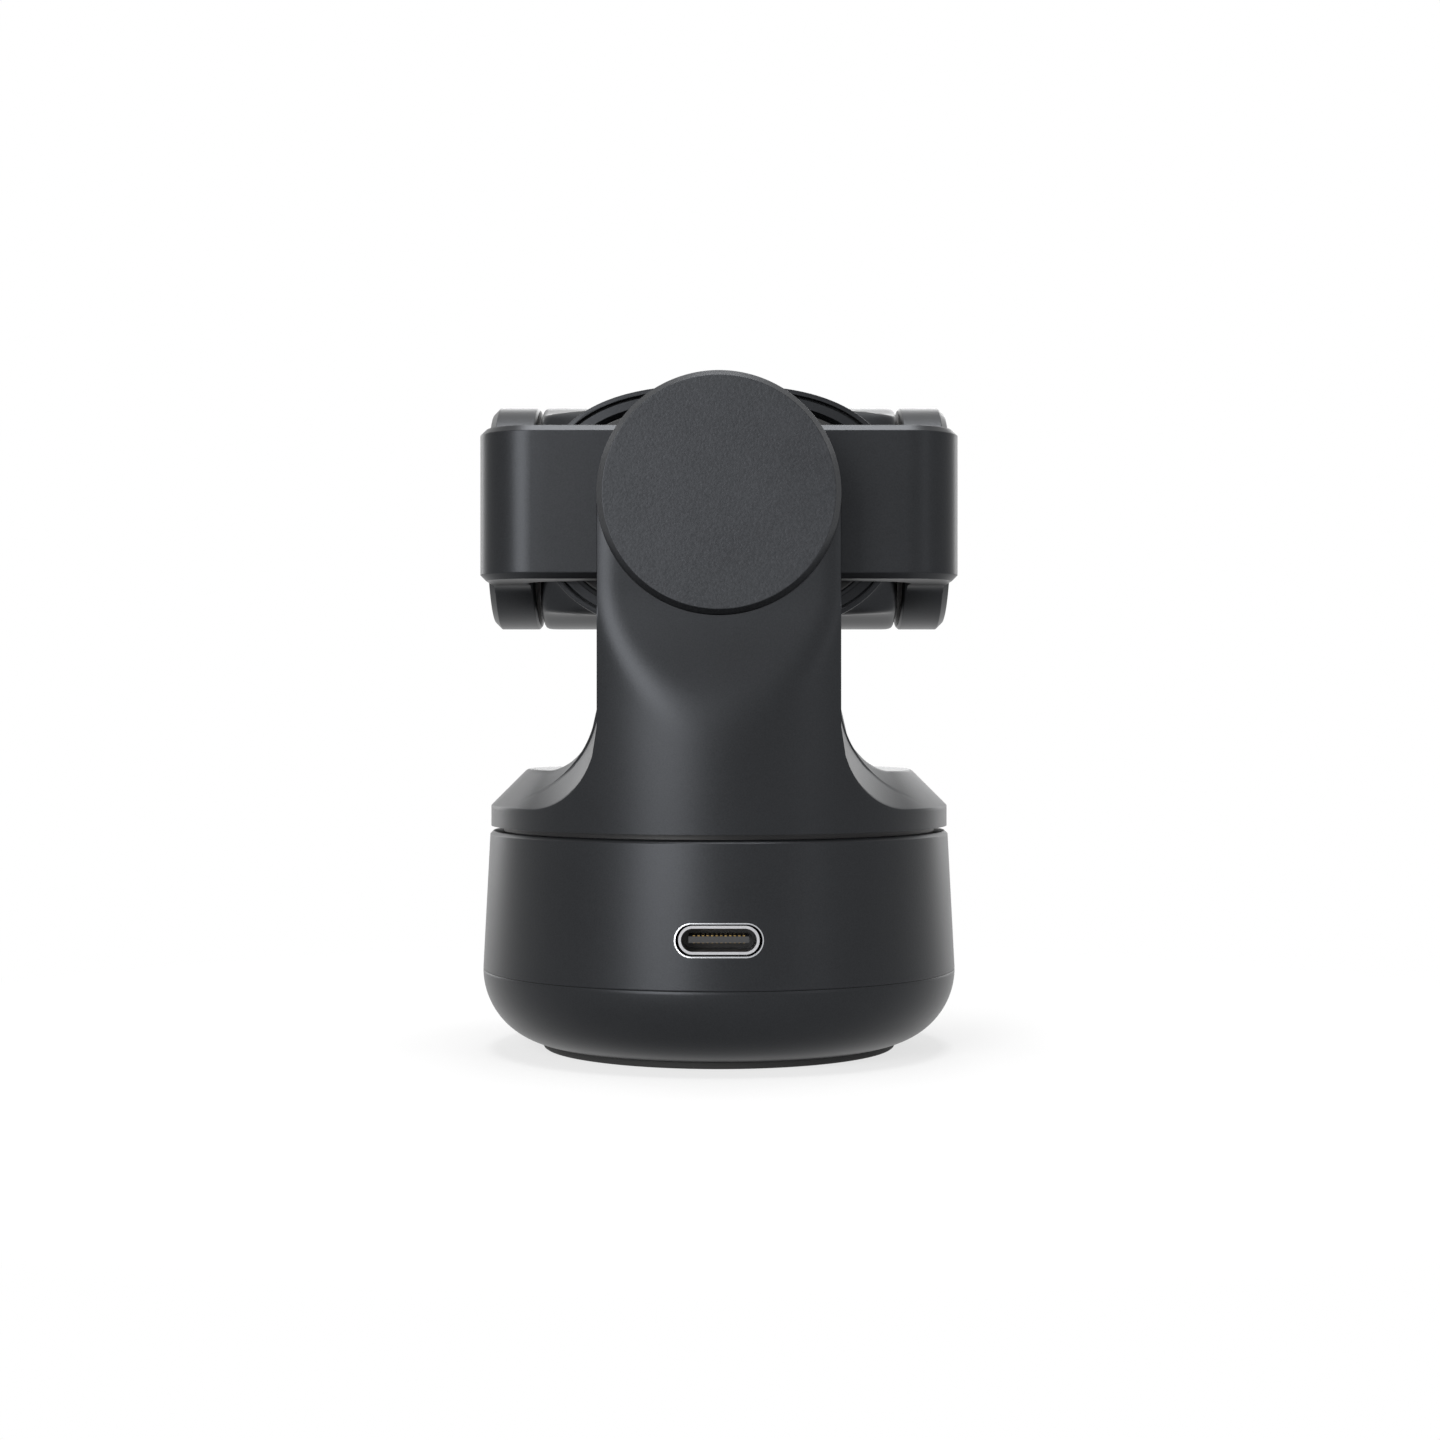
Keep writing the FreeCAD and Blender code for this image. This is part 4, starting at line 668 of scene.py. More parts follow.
# ---- geometry nodes -----------------------------------------------------------------------------
class NodeForm:
    """A Geometry Nodes tree under construction, with named inputs."""

    def __init__(self, name: str, inputs: Mapping[str, tuple[str, Any]]) -> None:
        """Start a tree whose inputs are (socket type, value) by name, after the geometry."""
        self.tree = bpy.data.node_groups.new(name, "GeometryNodeTree")
        self.tree.interface.new_socket("Geometry", in_out="INPUT", socket_type="NodeSocketGeometry")
        self.values = {}
        for label, (kind, value) in inputs.items():
            socket = self.tree.interface.new_socket(label, in_out="INPUT", socket_type=kind)
            self.values[socket.identifier] = value
        self.tree.interface.new_socket("Geometry", in_out="OUTPUT", socket_type="NodeSocketGeometry")
        self.source = self.tree.nodes.new("NodeGroupInput")
        self.result = self.tree.nodes.new("NodeGroupOutput")

    def add(self, kind: str, settings: Optional[Mapping[str, Any]] = None,
            inputs: Optional[Mapping[Any, Any]] = None) -> bpy.types.Node:
        """Add a node with its settings and the values or sources of its sockets."""
        node = self.tree.nodes.new(kind)
        for name, value in (settings or {}).items():
            setattr(node, name, value)
        for name, value in (inputs or {}).items():
            if isinstance(value, bpy.types.NodeSocket):
                self.tree.links.new(value, node.inputs[name])
            else:
                node.inputs[name].default_value = value
        return node

    def maths(self, operation: str, first: Any, second: Any = 0.0) -> bpy.types.NodeSocket:
        """One Math node's result."""
        return self.add("ShaderNodeMath", {"operation": operation}, {0: first, 1: second}).outputs[0]

    def close(self, geometry: bpy.types.NodeSocket, paint: bpy.types.Material) -> None:
        """End the tree in Realize Instances and Set Material."""
        real = self.add("GeometryNodeRealizeInstances", inputs={"Geometry": geometry})
        dressed = self.add("GeometryNodeSetMaterial", inputs={"Geometry": real.outputs[0], "Material": paint})
        self.tree.links.new(dressed.outputs[0], self.result.inputs[0])

    def applied(self, host: bpy.types.Object, name: str) -> bpy.types.Object:
        """Run the tree on an object and return the plain mesh object that it makes."""
        change = host.modifiers.new(self.tree.name, "NODES")
        change.node_group = self.tree
        for identifier, value in self.values.items():
            change[identifier] = value
        return evaluated(host, name)


def lathe_tree(segments: int, paint: bpy.types.Material) -> NodeForm:
    """The tree that turns a profile in the XZ plane about Z.

    The profile's vertices are wrapped round the axis row by row on a grid, so the shape stays one
    closed skin, and the points that meet on the axis are merged.
    """
    form = NodeForm("lathe", {"Segments": ("NodeSocketInt", segments), "Merge": ("NodeSocketFloat", MERGE_M)})
    profile = form.source.outputs["Geometry"]
    count = form.add("GeometryNodeAttributeDomainSize", {"component": "MESH"}, {0: profile}).outputs[0]
    around = form.maths("ADD", form.source.outputs["Segments"], 1.0)
    grid = form.add("GeometryNodeMeshGrid", inputs={"Vertices X": around, "Vertices Y": count})
    index = form.add("GeometryNodeInputIndex").outputs[0]
    row = form.maths("FLOOR", form.maths("DIVIDE", index, count))
    step = form.maths("MODULO", index, count)
    position = form.add("GeometryNodeInputPosition").outputs[0]
    sampled = form.add("GeometryNodeSampleIndex", {"data_type": "FLOAT_VECTOR", "domain": "POINT"},
                       {"Geometry": profile, "Value": position, "Index": step})
    parts = form.add("ShaderNodeSeparateXYZ", inputs={0: sampled.outputs[0]})
    angle = form.maths("MULTIPLY", form.maths("DIVIDE", row, form.source.outputs["Segments"]), 2 * math.pi)
    placed = form.add("ShaderNodeCombineXYZ", inputs={
        0: form.maths("MULTIPLY", parts.outputs[0], form.maths("COSINE", angle)),
        1: form.maths("MULTIPLY", parts.outputs[0], form.maths("SINE", angle)),
        2: parts.outputs[2]})
    moved = form.add("GeometryNodeSetPosition", inputs={
        "Geometry": grid.outputs[0], "Position": placed.outputs[0]})
    merged = form.add("GeometryNodeMergeByDistance", inputs={
        "Geometry": moved.outputs[0], "Distance": form.source.outputs["Merge"]})
    form.close(merged.outputs[0], paint)
    return form


def lathe(name: str, corners: Sequence[Triple], place: Optional[Matrix] = None,
          segments: int = 160, closed: bool = True, steps: int = 4,
          support: float = 0.06) -> bpy.types.Object:
    """A turned solid from its (radius, height, rounding) corners.

    Args:
        name: The object's name.
        corners: The outline's corners in millimetres, with the rounding at each.
        place: Where the shape's own axis goes.
        segments: Facets round the axis.
        closed: Whether the outline closes on itself, as a ring's does.
        steps: Pieces of each rounding.
        support: Distance of the support points.

    Returns:
        The object.
    """
    path = rounded_path(corners, closed, steps, support)
    if closed:
        path.append(path[0])
    profile = bpy.data.meshes.new(name)
    edges = [(i, i + 1) for i in range(len(path) - 1)]
    profile.from_pydata([(r * MM, 0.0, z * MM) for r, z in path], edges, [])
    host = bpy.data.objects.new(name + "_profile", profile)
    bpy.context.scene.collection.objects.link(host)
    piece = lathe_tree(segments, PAINTS.get("inner_dark")).applied(host, name)
    build = bmesh.new()
    build.from_mesh(piece.data)
    bmesh.ops.remove_doubles(build, verts=build.verts, dist=MERGE_M)
    matrix = (place or Matrix.Identity(4)).copy()
    matrix.translation = matrix.translation * MM
    bmesh.ops.transform(build, matrix=matrix, verts=build.verts)
    bmesh.ops.recalc_face_normals(build, faces=build.faces)
    build.to_mesh(piece.data)
    build.free()
    smooth(piece)
    return piece


def points_object(name: str, points: Sequence[Triple]) -> bpy.types.Object:
    """An object of bare vertices, in metres, to carry repeated pieces."""
    mesh = bpy.data.meshes.new(name)
    mesh.from_pydata(points, [], [])
    host = bpy.data.objects.new(name, mesh)
    bpy.context.scene.collection.objects.link(host)
    return host


def ring_points(count: int, radius: float, height: float, start_deg: float, name: str) -> bpy.types.Object:
    """An object whose vertices are spaced evenly on a circle, to carry repeated pieces."""
    points = []
    for step in range(count):
        angle = math.radians(start_deg + 360.0 * step / count)
        points.append((radius * math.cos(angle) * MM, radius * math.sin(angle) * MM, height * MM))
    return points_object(name, points)


def repeated(host: bpy.types.Object, pattern: bpy.types.Object, name: str, finish: str,
             turn: float = 0.6) -> bpy.types.Object:
    """Set a pattern on every vertex of a host through a Geometry Nodes tree.

    Args:
        host: The object whose vertices carry the copies.
        pattern: The piece that is repeated, made about the origin.
        name: The name of the result.
        finish: The finish of the copies.
        turn: The most that a copy is turned about Z, in radians.

    Returns:
        One plain mesh object with all the copies.
    """
    form = NodeForm("repeat", {"Scale": ("NodeSocketFloat", 1.0), "Seed": ("NodeSocketInt", 3),
                               "Turn": ("NodeSocketFloat", turn)})
    info = form.add("GeometryNodeObjectInfo", {"transform_space": "RELATIVE"}, {"Object": pattern})
    spin = form.add("FunctionNodeRandomValue", {"data_type": "FLOAT"}, {
        2: 0.0, 3: form.source.outputs["Turn"], "Seed": form.source.outputs["Seed"]})
    turned_by = form.add("ShaderNodeCombineXYZ", inputs={2: spin.outputs[1]})
    placed = form.add("GeometryNodeInstanceOnPoints", inputs={
        "Points": form.source.outputs["Geometry"], "Instance": info.outputs["Geometry"],
        "Rotation": turned_by.outputs[0], "Scale": form.source.outputs["Scale"]})
    form.close(placed.outputs[0], PAINTS.get(finish))
    made = form.applied(host, name)
    bpy.data.objects.remove(pattern)
    smooth(made)
    return made


# ---- base ---------------------------------------------------------------------------------------
@dataclass
class BaseUnit:
    """The fixed base: tapered housing, bowl, rubber foot, tripod insert and cable socket.

    Attributes:
        top_r: Radius at the housing's top.
        top_edge: Chamfer round the top.
        wall: Wall of both shells.
        deck: Thickness of the top deck.
        port_z: Height of the socket.
        port: Width and height of its cut-out.
        trim: Wall and depth of the bright rim in it.
    """

    top_r: float = 27.57
    top_edge: float = 0.4
    wall: float = 1.8
    deck: float = 1.84
    port_z: float = 15.1
    port: Pair = (9.55, 3.5)
    trim: Pair = (0.2, 2.2)
    hub: Triple = (5.0, 6.2, 22.3)
    foot_w: float = 4.0
    lip: Triple = (0.2, 0.7, 1.2)
    insert_r: float = 5.0
    boss: Pair = (7.0, 8.0)
    thread: Triple = (2.55, 3.1, 1.27)
    post: Triple = (19.2, 3.0, 4)
    contact: Triple = (0.26, 3.2, 0.06)

    def __post_init__(self) -> None:
        """Take the overall sizes from the CAD boxes."""
        low, high = mm_box("base_housing")
        self.seam_r, self.seam_z, self.top_z = high[0], low[2], high[2]
        shell_low, _ = mm_box("lower_shell")
        self.floor_z = shell_low[2]

    def wall_r(self, height: float) -> float:
        """Outside radius of the housing at a height."""
        share = (height - self.seam_z) / (self.top_z - self.seam_z)
        return self.seam_r + share * (self.top_r - self.seam_r)

    def housing(self) -> None:
        """The tapered wall with its deck, screw posts and socket cut-out."""
        ring_low, ring_high = mm_box("dust_ring")
        groove_in = ring_high[0] - 1.22
        deck_z = self.top_z - self.deck
        bore, hub_r, hub_z = self.hub
        corners = [(self.seam_r, self.seam_z, 0.14), (self.top_r, self.top_z - self.top_edge, 0.12),
                   (self.top_r - self.top_edge, self.top_z, 0.12), (ring_high[0] + 0.02, self.top_z, 0.06),
                   (ring_high[0] + 0.02, ring_low[2], 0), (groove_in, ring_low[2], 0),
                   (groove_in, self.top_z, 0.06), (bore, self.top_z, 0.1), (bore, hub_z, 0.1),
                   (hub_r, hub_z, 0.1), (hub_r, deck_z, 0.4), (self.top_r - self.wall, deck_z, 0.6),
                   (self.seam_r - self.wall, self.seam_z, 0.05)]
        shell = lathe("base_housing_skin", corners, segments=224)
        circle, post_r, count = self.post
        posts = repeated(ring_points(int(count), circle, 0.0, 45.0, "post_places"),
                         lathe("post", [(0, self.seam_z, 0), (post_r, self.seam_z, 0.1),
                                        (post_r, deck_z + 0.5, 0), (0, deck_z + 0.5, 0)],
                               segments=32, closed=False), "posts", "inner_dark")
        shell = combined(shell, [posts], "UNION")
        width, height = (side + 2 * self.trim[0] for side in self.port)
        tool = prism("port_way", slot_outline(width, height, 16), 0.0, 9.0,
                     turned(Axis.BACK, (0.0, -21.0, self.port_z)))
        finished(combined(shell, [tool], "DIFFERENCE"), Body.BASE, "dark_aluminium", ["base_housing"])

    def bowl(self) -> None:
        """The quarter-round lower shell with the foot's groove and the tripod boss."""
        _, foot_high = mm_box("foot_ring")
        outer, groove_z = foot_high[0] + 0.1, foot_high[2]
        arc_r = self.seam_z - self.floor_z
        centre = (self.seam_r - arc_r, self.seam_z)
        start = math.degrees(math.asin((outer - centre[0]) / arc_r)) - 90
        gap, lip_t, lip_h = self.lip
        lip_out = self.seam_r - self.wall - gap
        lip_in = lip_out - lip_t
        inner_r = arc_r - self.wall
        reach = math.degrees(math.acos((lip_in - centre[0]) / inner_r))
        boss_r, boss_z = self.boss
        corners = [(self.insert_r, self.floor_z, 0.15), (foot_high[0] - self.foot_w - 0.1, self.floor_z, 0.1),
                   (foot_high[0] - self.foot_w - 0.1, groove_z, 0), (outer, groove_z, 0)]
        corners += [(x, z, 0) for x, z in arc_points(centre, arc_r, start, -0.6, 40)]
        corners += [(self.seam_r - 0.05, self.seam_z, 0), (lip_out, self.seam_z, 0),
                    (lip_out, self.seam_z + lip_h, 0.1), (lip_in, self.seam_z + lip_h, 0.1)]
        corners += [(x, z, 0) for x, z in arc_points(centre, inner_r, -reach, -90, 16)]
        corners += [(boss_r, self.seam_z - inner_r, 0.4), (boss_r, boss_z, 0.2), (self.insert_r, boss_z, 0.1)]
        shell = lathe("lower_shell_skin", corners, segments=224)
        circle, _, count = self.post
        ways = repeated(ring_points(int(count), circle, 0.0, 45.0, "way_places"),
                        lathe("way", [(0, 0, 0), (2.1, 0, 0), (2.1, 3.2, 0), (1.1, 3.2, 0), (1.1, 5.0, 0),
                                      (0, 5.0, 0)], segments=40, closed=False), "screw_ways", "inner_dark")
        finished(combined(shell, [ways], "DIFFERENCE"), Body.BASE, "dark_aluminium", ["lower_shell"])

    def rings(self) -> None:
        """The rubber foot with its two fine grooves, the dark ring in the pan gap and the insert."""
        low, high = mm_box("foot_ring")
        inner = high[0] - self.foot_w
        corners = [(inner, low[2], 0.2)]
        for share in (0.36, 0.64):
            middle = inner + self.foot_w * share
            corners += [(middle - 0.3, low[2], 0.08), (middle, low[2] + 0.25, 0.05),
                        (middle + 0.3, low[2], 0.08)]
        corners += [(high[0], low[2], 0.3), (high[0], high[2], 0.1), (inner, high[2], 0.1)]
        finished(lathe("rubber_foot", corners, segments=192), Body.BASE, "black_rubber", ["foot_ring"])
        low, high = mm_box("dust_ring")
        corners = [(high[0] - 1.2, low[2], 0.05), (high[0], low[2], 0.05), (high[0], high[2], 0.2),
                   (high[0] - 1.2, high[2], 0.2)]
        finished(lathe("dust_seal", corners, segments=192), Body.BASE, "black_plastic", ["dust_ring"])
        low, high = mm_box("tripod_insert")
        minor, major, pitch = self.thread
        corners = [(0, high[2], 0), (high[0], high[2], 0.2), (high[0], low[2], 0.1),
                   (minor + 0.45, low[2], 0.05)]
        for turn in range(int(6.2 / pitch)):
            foot = low[2] + 0.45 + turn * pitch
            corners += [(minor, foot, 0.04), (major, foot + pitch / 2, 0.04)]
        corners += [(minor, low[2] + 6.1, 0), (0, low[2] + 6.2, 0)]
        insert = lathe("threaded_insert", corners, segments=96, closed=False, support=0.02)
        finished(insert, Body.BASE, "brass", ["tripod_insert"])

    def socket(self) -> None:
        """The bright rim that follows the wall, and the contacts on the socket's tongue."""
        wall, depth = self.trim
        width, height = (side + 2 * wall for side in self.port)
        profile = [(0.01, depth), (0.01, 0.05), (0.04, -0.01), (wall - 0.03, -0.01), (wall, 0.05),
                   (wall, depth)]
        rings = []
        for inset, back in profile:
            ring = []
            for x, z in slot_outline(width - 2 * inset, height - 2 * inset, 16):
                radius = self.wall_r(self.port_z + z)
                ring.append((x, back - math.sqrt(radius * radius - x * x), self.port_z + z))
            rings.append(ring)
        points, faces = lofted(rings, True, True, False)
        finished(mesh_object("port_rim", points, faces), Body.BASE, "bright_rim", ["port_trim"])
        low, _ = mm_box("socket_tongue")
        thick, length, proud = self.contact
        for side, level in ((1, self.port_z + 0.35), (-1, self.port_z - 0.35)):
            row_y = low[1] + 0.5 + length / 2
            host = points_object("contact_places", [
                ((step - 5.5) * 0.5 * MM, row_y * MM, level * MM) for step in range(12)])
            outline = [(-thick / 2, -length / 2), (thick / 2, -length / 2),
                       (thick / 2, length / 2), (-thick / 2, length / 2)]
            bar = prism("contact", outline, -0.02, proud, edge=0.02)
            if side < 0:
                bar.data.transform(Matrix.Rotation(math.pi, 4, "Y"))
            name = "contacts_upper" if side > 0 else "contacts_lower"
            made = repeated(host, bar, name, "contact_gold", turn=0.0)
            finished(made, Body.BASE, "brass", paint="contact_gold")

    def build(self) -> None:
        """Make and dress the base."""
        self.housing()
        self.bowl()
        self.rings()
        self.socket()


# ---- pan body -----------------------------------------------------------------------------------
def soft_min(first: float, second: float, reach: float) -> float:
    """The smaller of two values, rounded where they meet."""
    near = max(reach - abs(first - second), 0.0) / reach
    return min(first, second) - near * near * reach / 4


def smooth_step(value: float) -> float:
    """A smooth rise from 0 to 1."""
    kept = max(0.0, min(1.0, value))
    return kept * kept * (3 - 2 * kept)


def cylinder(name: str, radius: float, low: float, high: float, place: Matrix,
             segments: int = 96) -> bpy.types.Object:
    """A plain turned tool for cutting."""
    return lathe(name, [(0, low, 0), (radius, low, 0), (radius, high, 0), (0, high, 0)], place, segments,
                 closed=False)


def block(name: str, low: Triple, high: Triple) -> bpy.types.Object:
    """A rectangular tool for cutting."""
    outline = [(low[0], low[1]), (high[0], low[1]), (high[0], high[1]), (low[0], high[1])]
    return prism(name, outline, low[2], high[2])


@dataclass
class PanUnit:
    """The turning flange, the neck that grows out of it, and the round cap of the roll axis."""

    edge_z: float = 29.05
    top_r: float = 23.1
    half_w: float = 13.6
    roll_z: float = 64.5
    boss_rear: float = -23.4
    cap_edge: float = 24.3
    cap_face_r: float = 12.96
    wall: float = 1.5
    lean: Quad = (34.0, 54.0, 28.2, 24.2)
    flare_out: Pair = (8.0, 9.5)
    flare_in: Pair = (6.5, 8.3)
    crease: float = 0.3
    side_steps: int = 48
    front_steps: int = 20

    def __post_init__(self) -> None:
        """Take the overall sizes from the CAD boxes."""
        low, high = mm_box("pan_shell")
        self.radius, self.low_z = high[0], low[2]
        self.front_y = -14.2
        self.top_z = self.edge_z + self.radius - self.top_r
        self.side_y = -math.sqrt(self.radius ** 2 - self.half_w ** 2)

    def surface(self, x: float, y: float) -> float:
        """Height of the flange's top, with the flare round the neck."""
        radius = math.hypot(x, y)
        plate = soft_min(self.top_z, self.edge_z + self.radius - radius, self.crease)
        away = math.hypot(max(abs(x) - self.half_w, 0.0), max(y - self.front_y, 0.0))
        share = max(0.0, min(1.0, (radius - self.top_r) / (self.radius - self.top_r)))
        reach = self.flare_in[0] + share * (self.flare_out[0] - self.flare_in[0])
        rise = self.flare_in[1] + share * (self.flare_out[1] - self.flare_in[1])
        if away >= reach:
            return plate
        lost = (reach - away) / reach
        return plate + rise * (1 - math.sqrt(max(0.0, 1 - lost * lost)))

    def column(self, start: Pair, end: Pair, soft: float) -> list[Triple]:
        """Points of the flange's top from the neck to the wall, dense where it bends.

        Args:
            start: Where the column leaves the neck.
            end: Where it meets the flange's wall.
            soft: Share of the wall's rounded edge that it has.

        Returns:
            The points, the last ones on the rounded edge.
        """
        def place(share: float) -> Pair:
            """A point between start and end."""
            return start[0] + (end[0] - start[0]) * share, start[1] + (end[1] - start[1]) * share

        def crossing(radius: float) -> float:
            """Where the column last passes a radius, or 0 if it starts outside it."""
            if math.hypot(*start) >= radius:
                return 0.0
            low, high = 0.0, 1.0
            for _ in range(40):
                middle = (low + high) / 2
                if math.hypot(*place(middle)) < radius:
                    low = middle
                else:
                    high = middle
            return high

        marks = [0.0, crossing(self.top_r - 0.22), crossing(self.top_r), crossing(self.top_r + 0.22), 1.0]
        counts = [26, 2, 2, 26]
        shares = []
        for first, last, count in zip(marks, marks[1:], counts):
            power = 1.7 if count > 2 and first < 0.02 else 1.0
            shares += [first + (last - first) * (step / count) ** power for step in range(count)]
        rows = []
        for share in shares:
            x, y = place(share)
            rows.append((x, y, self.surface(x, y)))
        edge = self.surface(*end)
        out = Vector(end).normalized()
        for inset, drop in ((0.07, -0.07), (0.02, 0.0), (0.0, 0.07)):
            x, y = out * (self.radius - inset * soft)
            rows.append((x, y, edge - drop * soft))
        return rows

    def skin(self) -> bpy.types.Object:
        """The outside of flange and neck as one closed skin."""
        half, steps = self.half_w, self.front_steps
        across = [half * math.cos(math.pi * step / (2 * steps)) for step in range(2 * steps + 1)]
        across[steps] = 0.0
        sides = [self.side_y + (self.front_y - self.side_y) * step / self.side_steps
                 for step in range(self.side_steps + 1)]
        first = math.atan2(self.side_y, half)
        length = self.front_y - self.side_y
        contour = [(half, y, (y - self.side_y) / (length + half)) for y in sides]
        contour += [(x, self.front_y, (length + half - x) / (length + half)) for x in across[1:steps + 1]]
        right = []
        for index, (x, y, share) in enumerate(contour):
            angle = first + (math.pi / 2 - first) * share
            end = (self.radius * math.cos(angle), self.radius * math.sin(angle))
            right.append(self.column((x, y), end, min(1.0, index / 3)))
        left = [[(-x, y, z) for x, y, z in column] for column in right[:-1]]
        columns = right + left[::-1]
        points: list[Sequence[float]] = []
        faces: list[list[int]] = []

        def patch(rows: Sequence[Sequence[Sequence[float]]]) -> None:
            """Add a grid of points with its faces."""
            made, added = lofted(rows, False, False, False)
            shift = len(points)
            points.extend(made)
            faces.extend([[i + shift for i in face] for face in added])

        patch(columns)
        drops = [step / 8 for step in range(9)]
        ends = [column[-1] for column in columns]
        patch([[(x, y, z + (self.low_z - z) * drop) for drop in drops] for x, y, z in ends])
        rises = [(step / 24) for step in range(25)]
        caps = [step / 10 for step in range(11)]

        def wall_column(x: float, y: float, foot: float) -> list[Triple]:
            """A column of the neck's wall up to the roll axis."""
            return [(x, y, foot + (self.roll_z - foot) * rise) for rise in rises]

        def crown(x: float, y_of: Callable[[float], float]) -> list[Triple]:
            """The part of a flat face above the roll axis."""
            top = math.sqrt(max(0.0, half * half - x * x))
            return [(x, y_of(self.roll_z + top * cap), self.roll_z + top * cap) for cap in caps]

        for side in (1, -1):
            patch([wall_column(side * half, y, self.surface(half, y)) for y in sides])
        patch([wall_column(x, self.front_y, self.surface(x, self.front_y)) for x in across])
        patch([crown(x, lambda z: self.front_y) for x in across])
        patch([[(x, y, self.roll_z + math.sqrt(max(0.0, half * half - x * x))) for x in across]
               for y in sides])
        foot = self.surface(half, self.side_y)
        corner_low = right[0][-1][2]
        rear = []
        for x in across:
            edge = abs(abs(x) - half) < 1e-6
            levels = [corner_low + (self.low_z - corner_low) * s for s in drops][::-1]
            levels += [foot + (self.roll_z - foot) * rise for rise in rises]
            top = math.sqrt(max(0.0, half * half - x * x))
            levels += [self.roll_z + top * cap for cap in caps]
            rear.append([(x, self.side_y if edge else self.rear_y(x, z), z) for z in levels])
        patch(rear)
        bottom = [(c[-1][0], c[-1][1], self.low_z) for c in columns]
        bottom += [(column[0][0], column[0][1], self.low_z) for column in rear[::-1][1:-1]]
        shift = len(points)
        points.extend(bottom)
        faces.append(list(range(shift, len(points))))
        return mesh_object("pan_shell_skin", points, faces)

    def rear_y(self, x: float, z: float) -> float:
        """The neck's rear wall: round below, flat and further forward under the cap."""
        low, high, deep, shallow = self.lean
        plane = deep - (deep - shallow) * smooth_step((z - low) / (high - low))
        return -soft_min(math.sqrt(self.radius ** 2 - x * x), plane, 0.8)

    def shell(self) -> None:
        """Hollow the skin out and put the bearing hub in it."""
        axis = turned(Axis.BACK, (0.0, 0.0, self.roll_z))
        ceiling = self.top_z - 1.2
        inner = self.radius - 1.2
        room = self.half_w - self.wall
        slope = self.edge_z + self.radius - inner - 1.2 * math.sqrt(2)
        skin = self.skin()
        cavity = lathe("cavity", [(0, self.low_z - 1, 0), (inner, self.low_z - 1, 0), (inner, slope, 0),
                                  (inner - (ceiling - slope), ceiling, 0), (0, ceiling, 0)], segments=128,
                       closed=False)
        tools = [cavity, block("room", (-room, -22.5, ceiling - 0.4), (room, self.front_y - self.wall, 63.0)),
                 cylinder("motor_room", room - 0.02, 15.7, 26.0, axis),
                 cylinder("cap_recess", self.half_w + 0.03, -self.boss_rear, 40.0, axis, 160),
                 block("window", (-10.0, -16.2, 37.0), (10.0, -13.0, 48.5))]
        shell = combined(skin, tools, "DIFFERENCE")
        hub = cylinder("hub", 5.7, 15.0, 20.3, axis)
        shell = combined(shell, [hub], "UNION")
        shell = combined(shell, [cylinder("axle_way", 4.5, 12.0, 30.0, axis)], "DIFFERENCE")
        finished(shell, Body.PAN, "dark_aluminium", ["pan_shell"])

    def cap(self) -> None:
        """The round cap with its chamfer and spigot."""
        low, _ = mm_box("roll_cap")
        face, rear = -low[1], -self.boss_rear
        spigot = self.half_w - self.wall - 0.2
        corners = [(0, rear, 0), (spigot - 0.5, rear, 0), (spigot - 0.5, rear - 0.8, 0.1),
                   (spigot, rear - 0.8, 0.1), (spigot, rear, 0), (self.half_w, rear, 0.06),
                   (self.half_w, self.cap_edge, 0.09),
                   (self.cap_face_r, face, 0.09), (0, face, 0)]
        piece = lathe("roll_cap_skin", corners, turned(Axis.BACK, (0.0, 0.0, self.roll_z)), 224, closed=False)
        finished(piece, Body.PAN, "blasted_cap", ["roll_cap"])

    def build(self) -> None:
        """Make and dress the pan body."""
        self.shell()
        self.cap()


# ---- yoke ---------------------------------------------------------------------------------------
def oval_half_height(x: float, half_w: float, half_h: float, power: float) -> float:
    """Half-height of an oval at a distance across."""
    return half_h * (1 - (abs(x) / half_w) ** power) ** (1 / power)


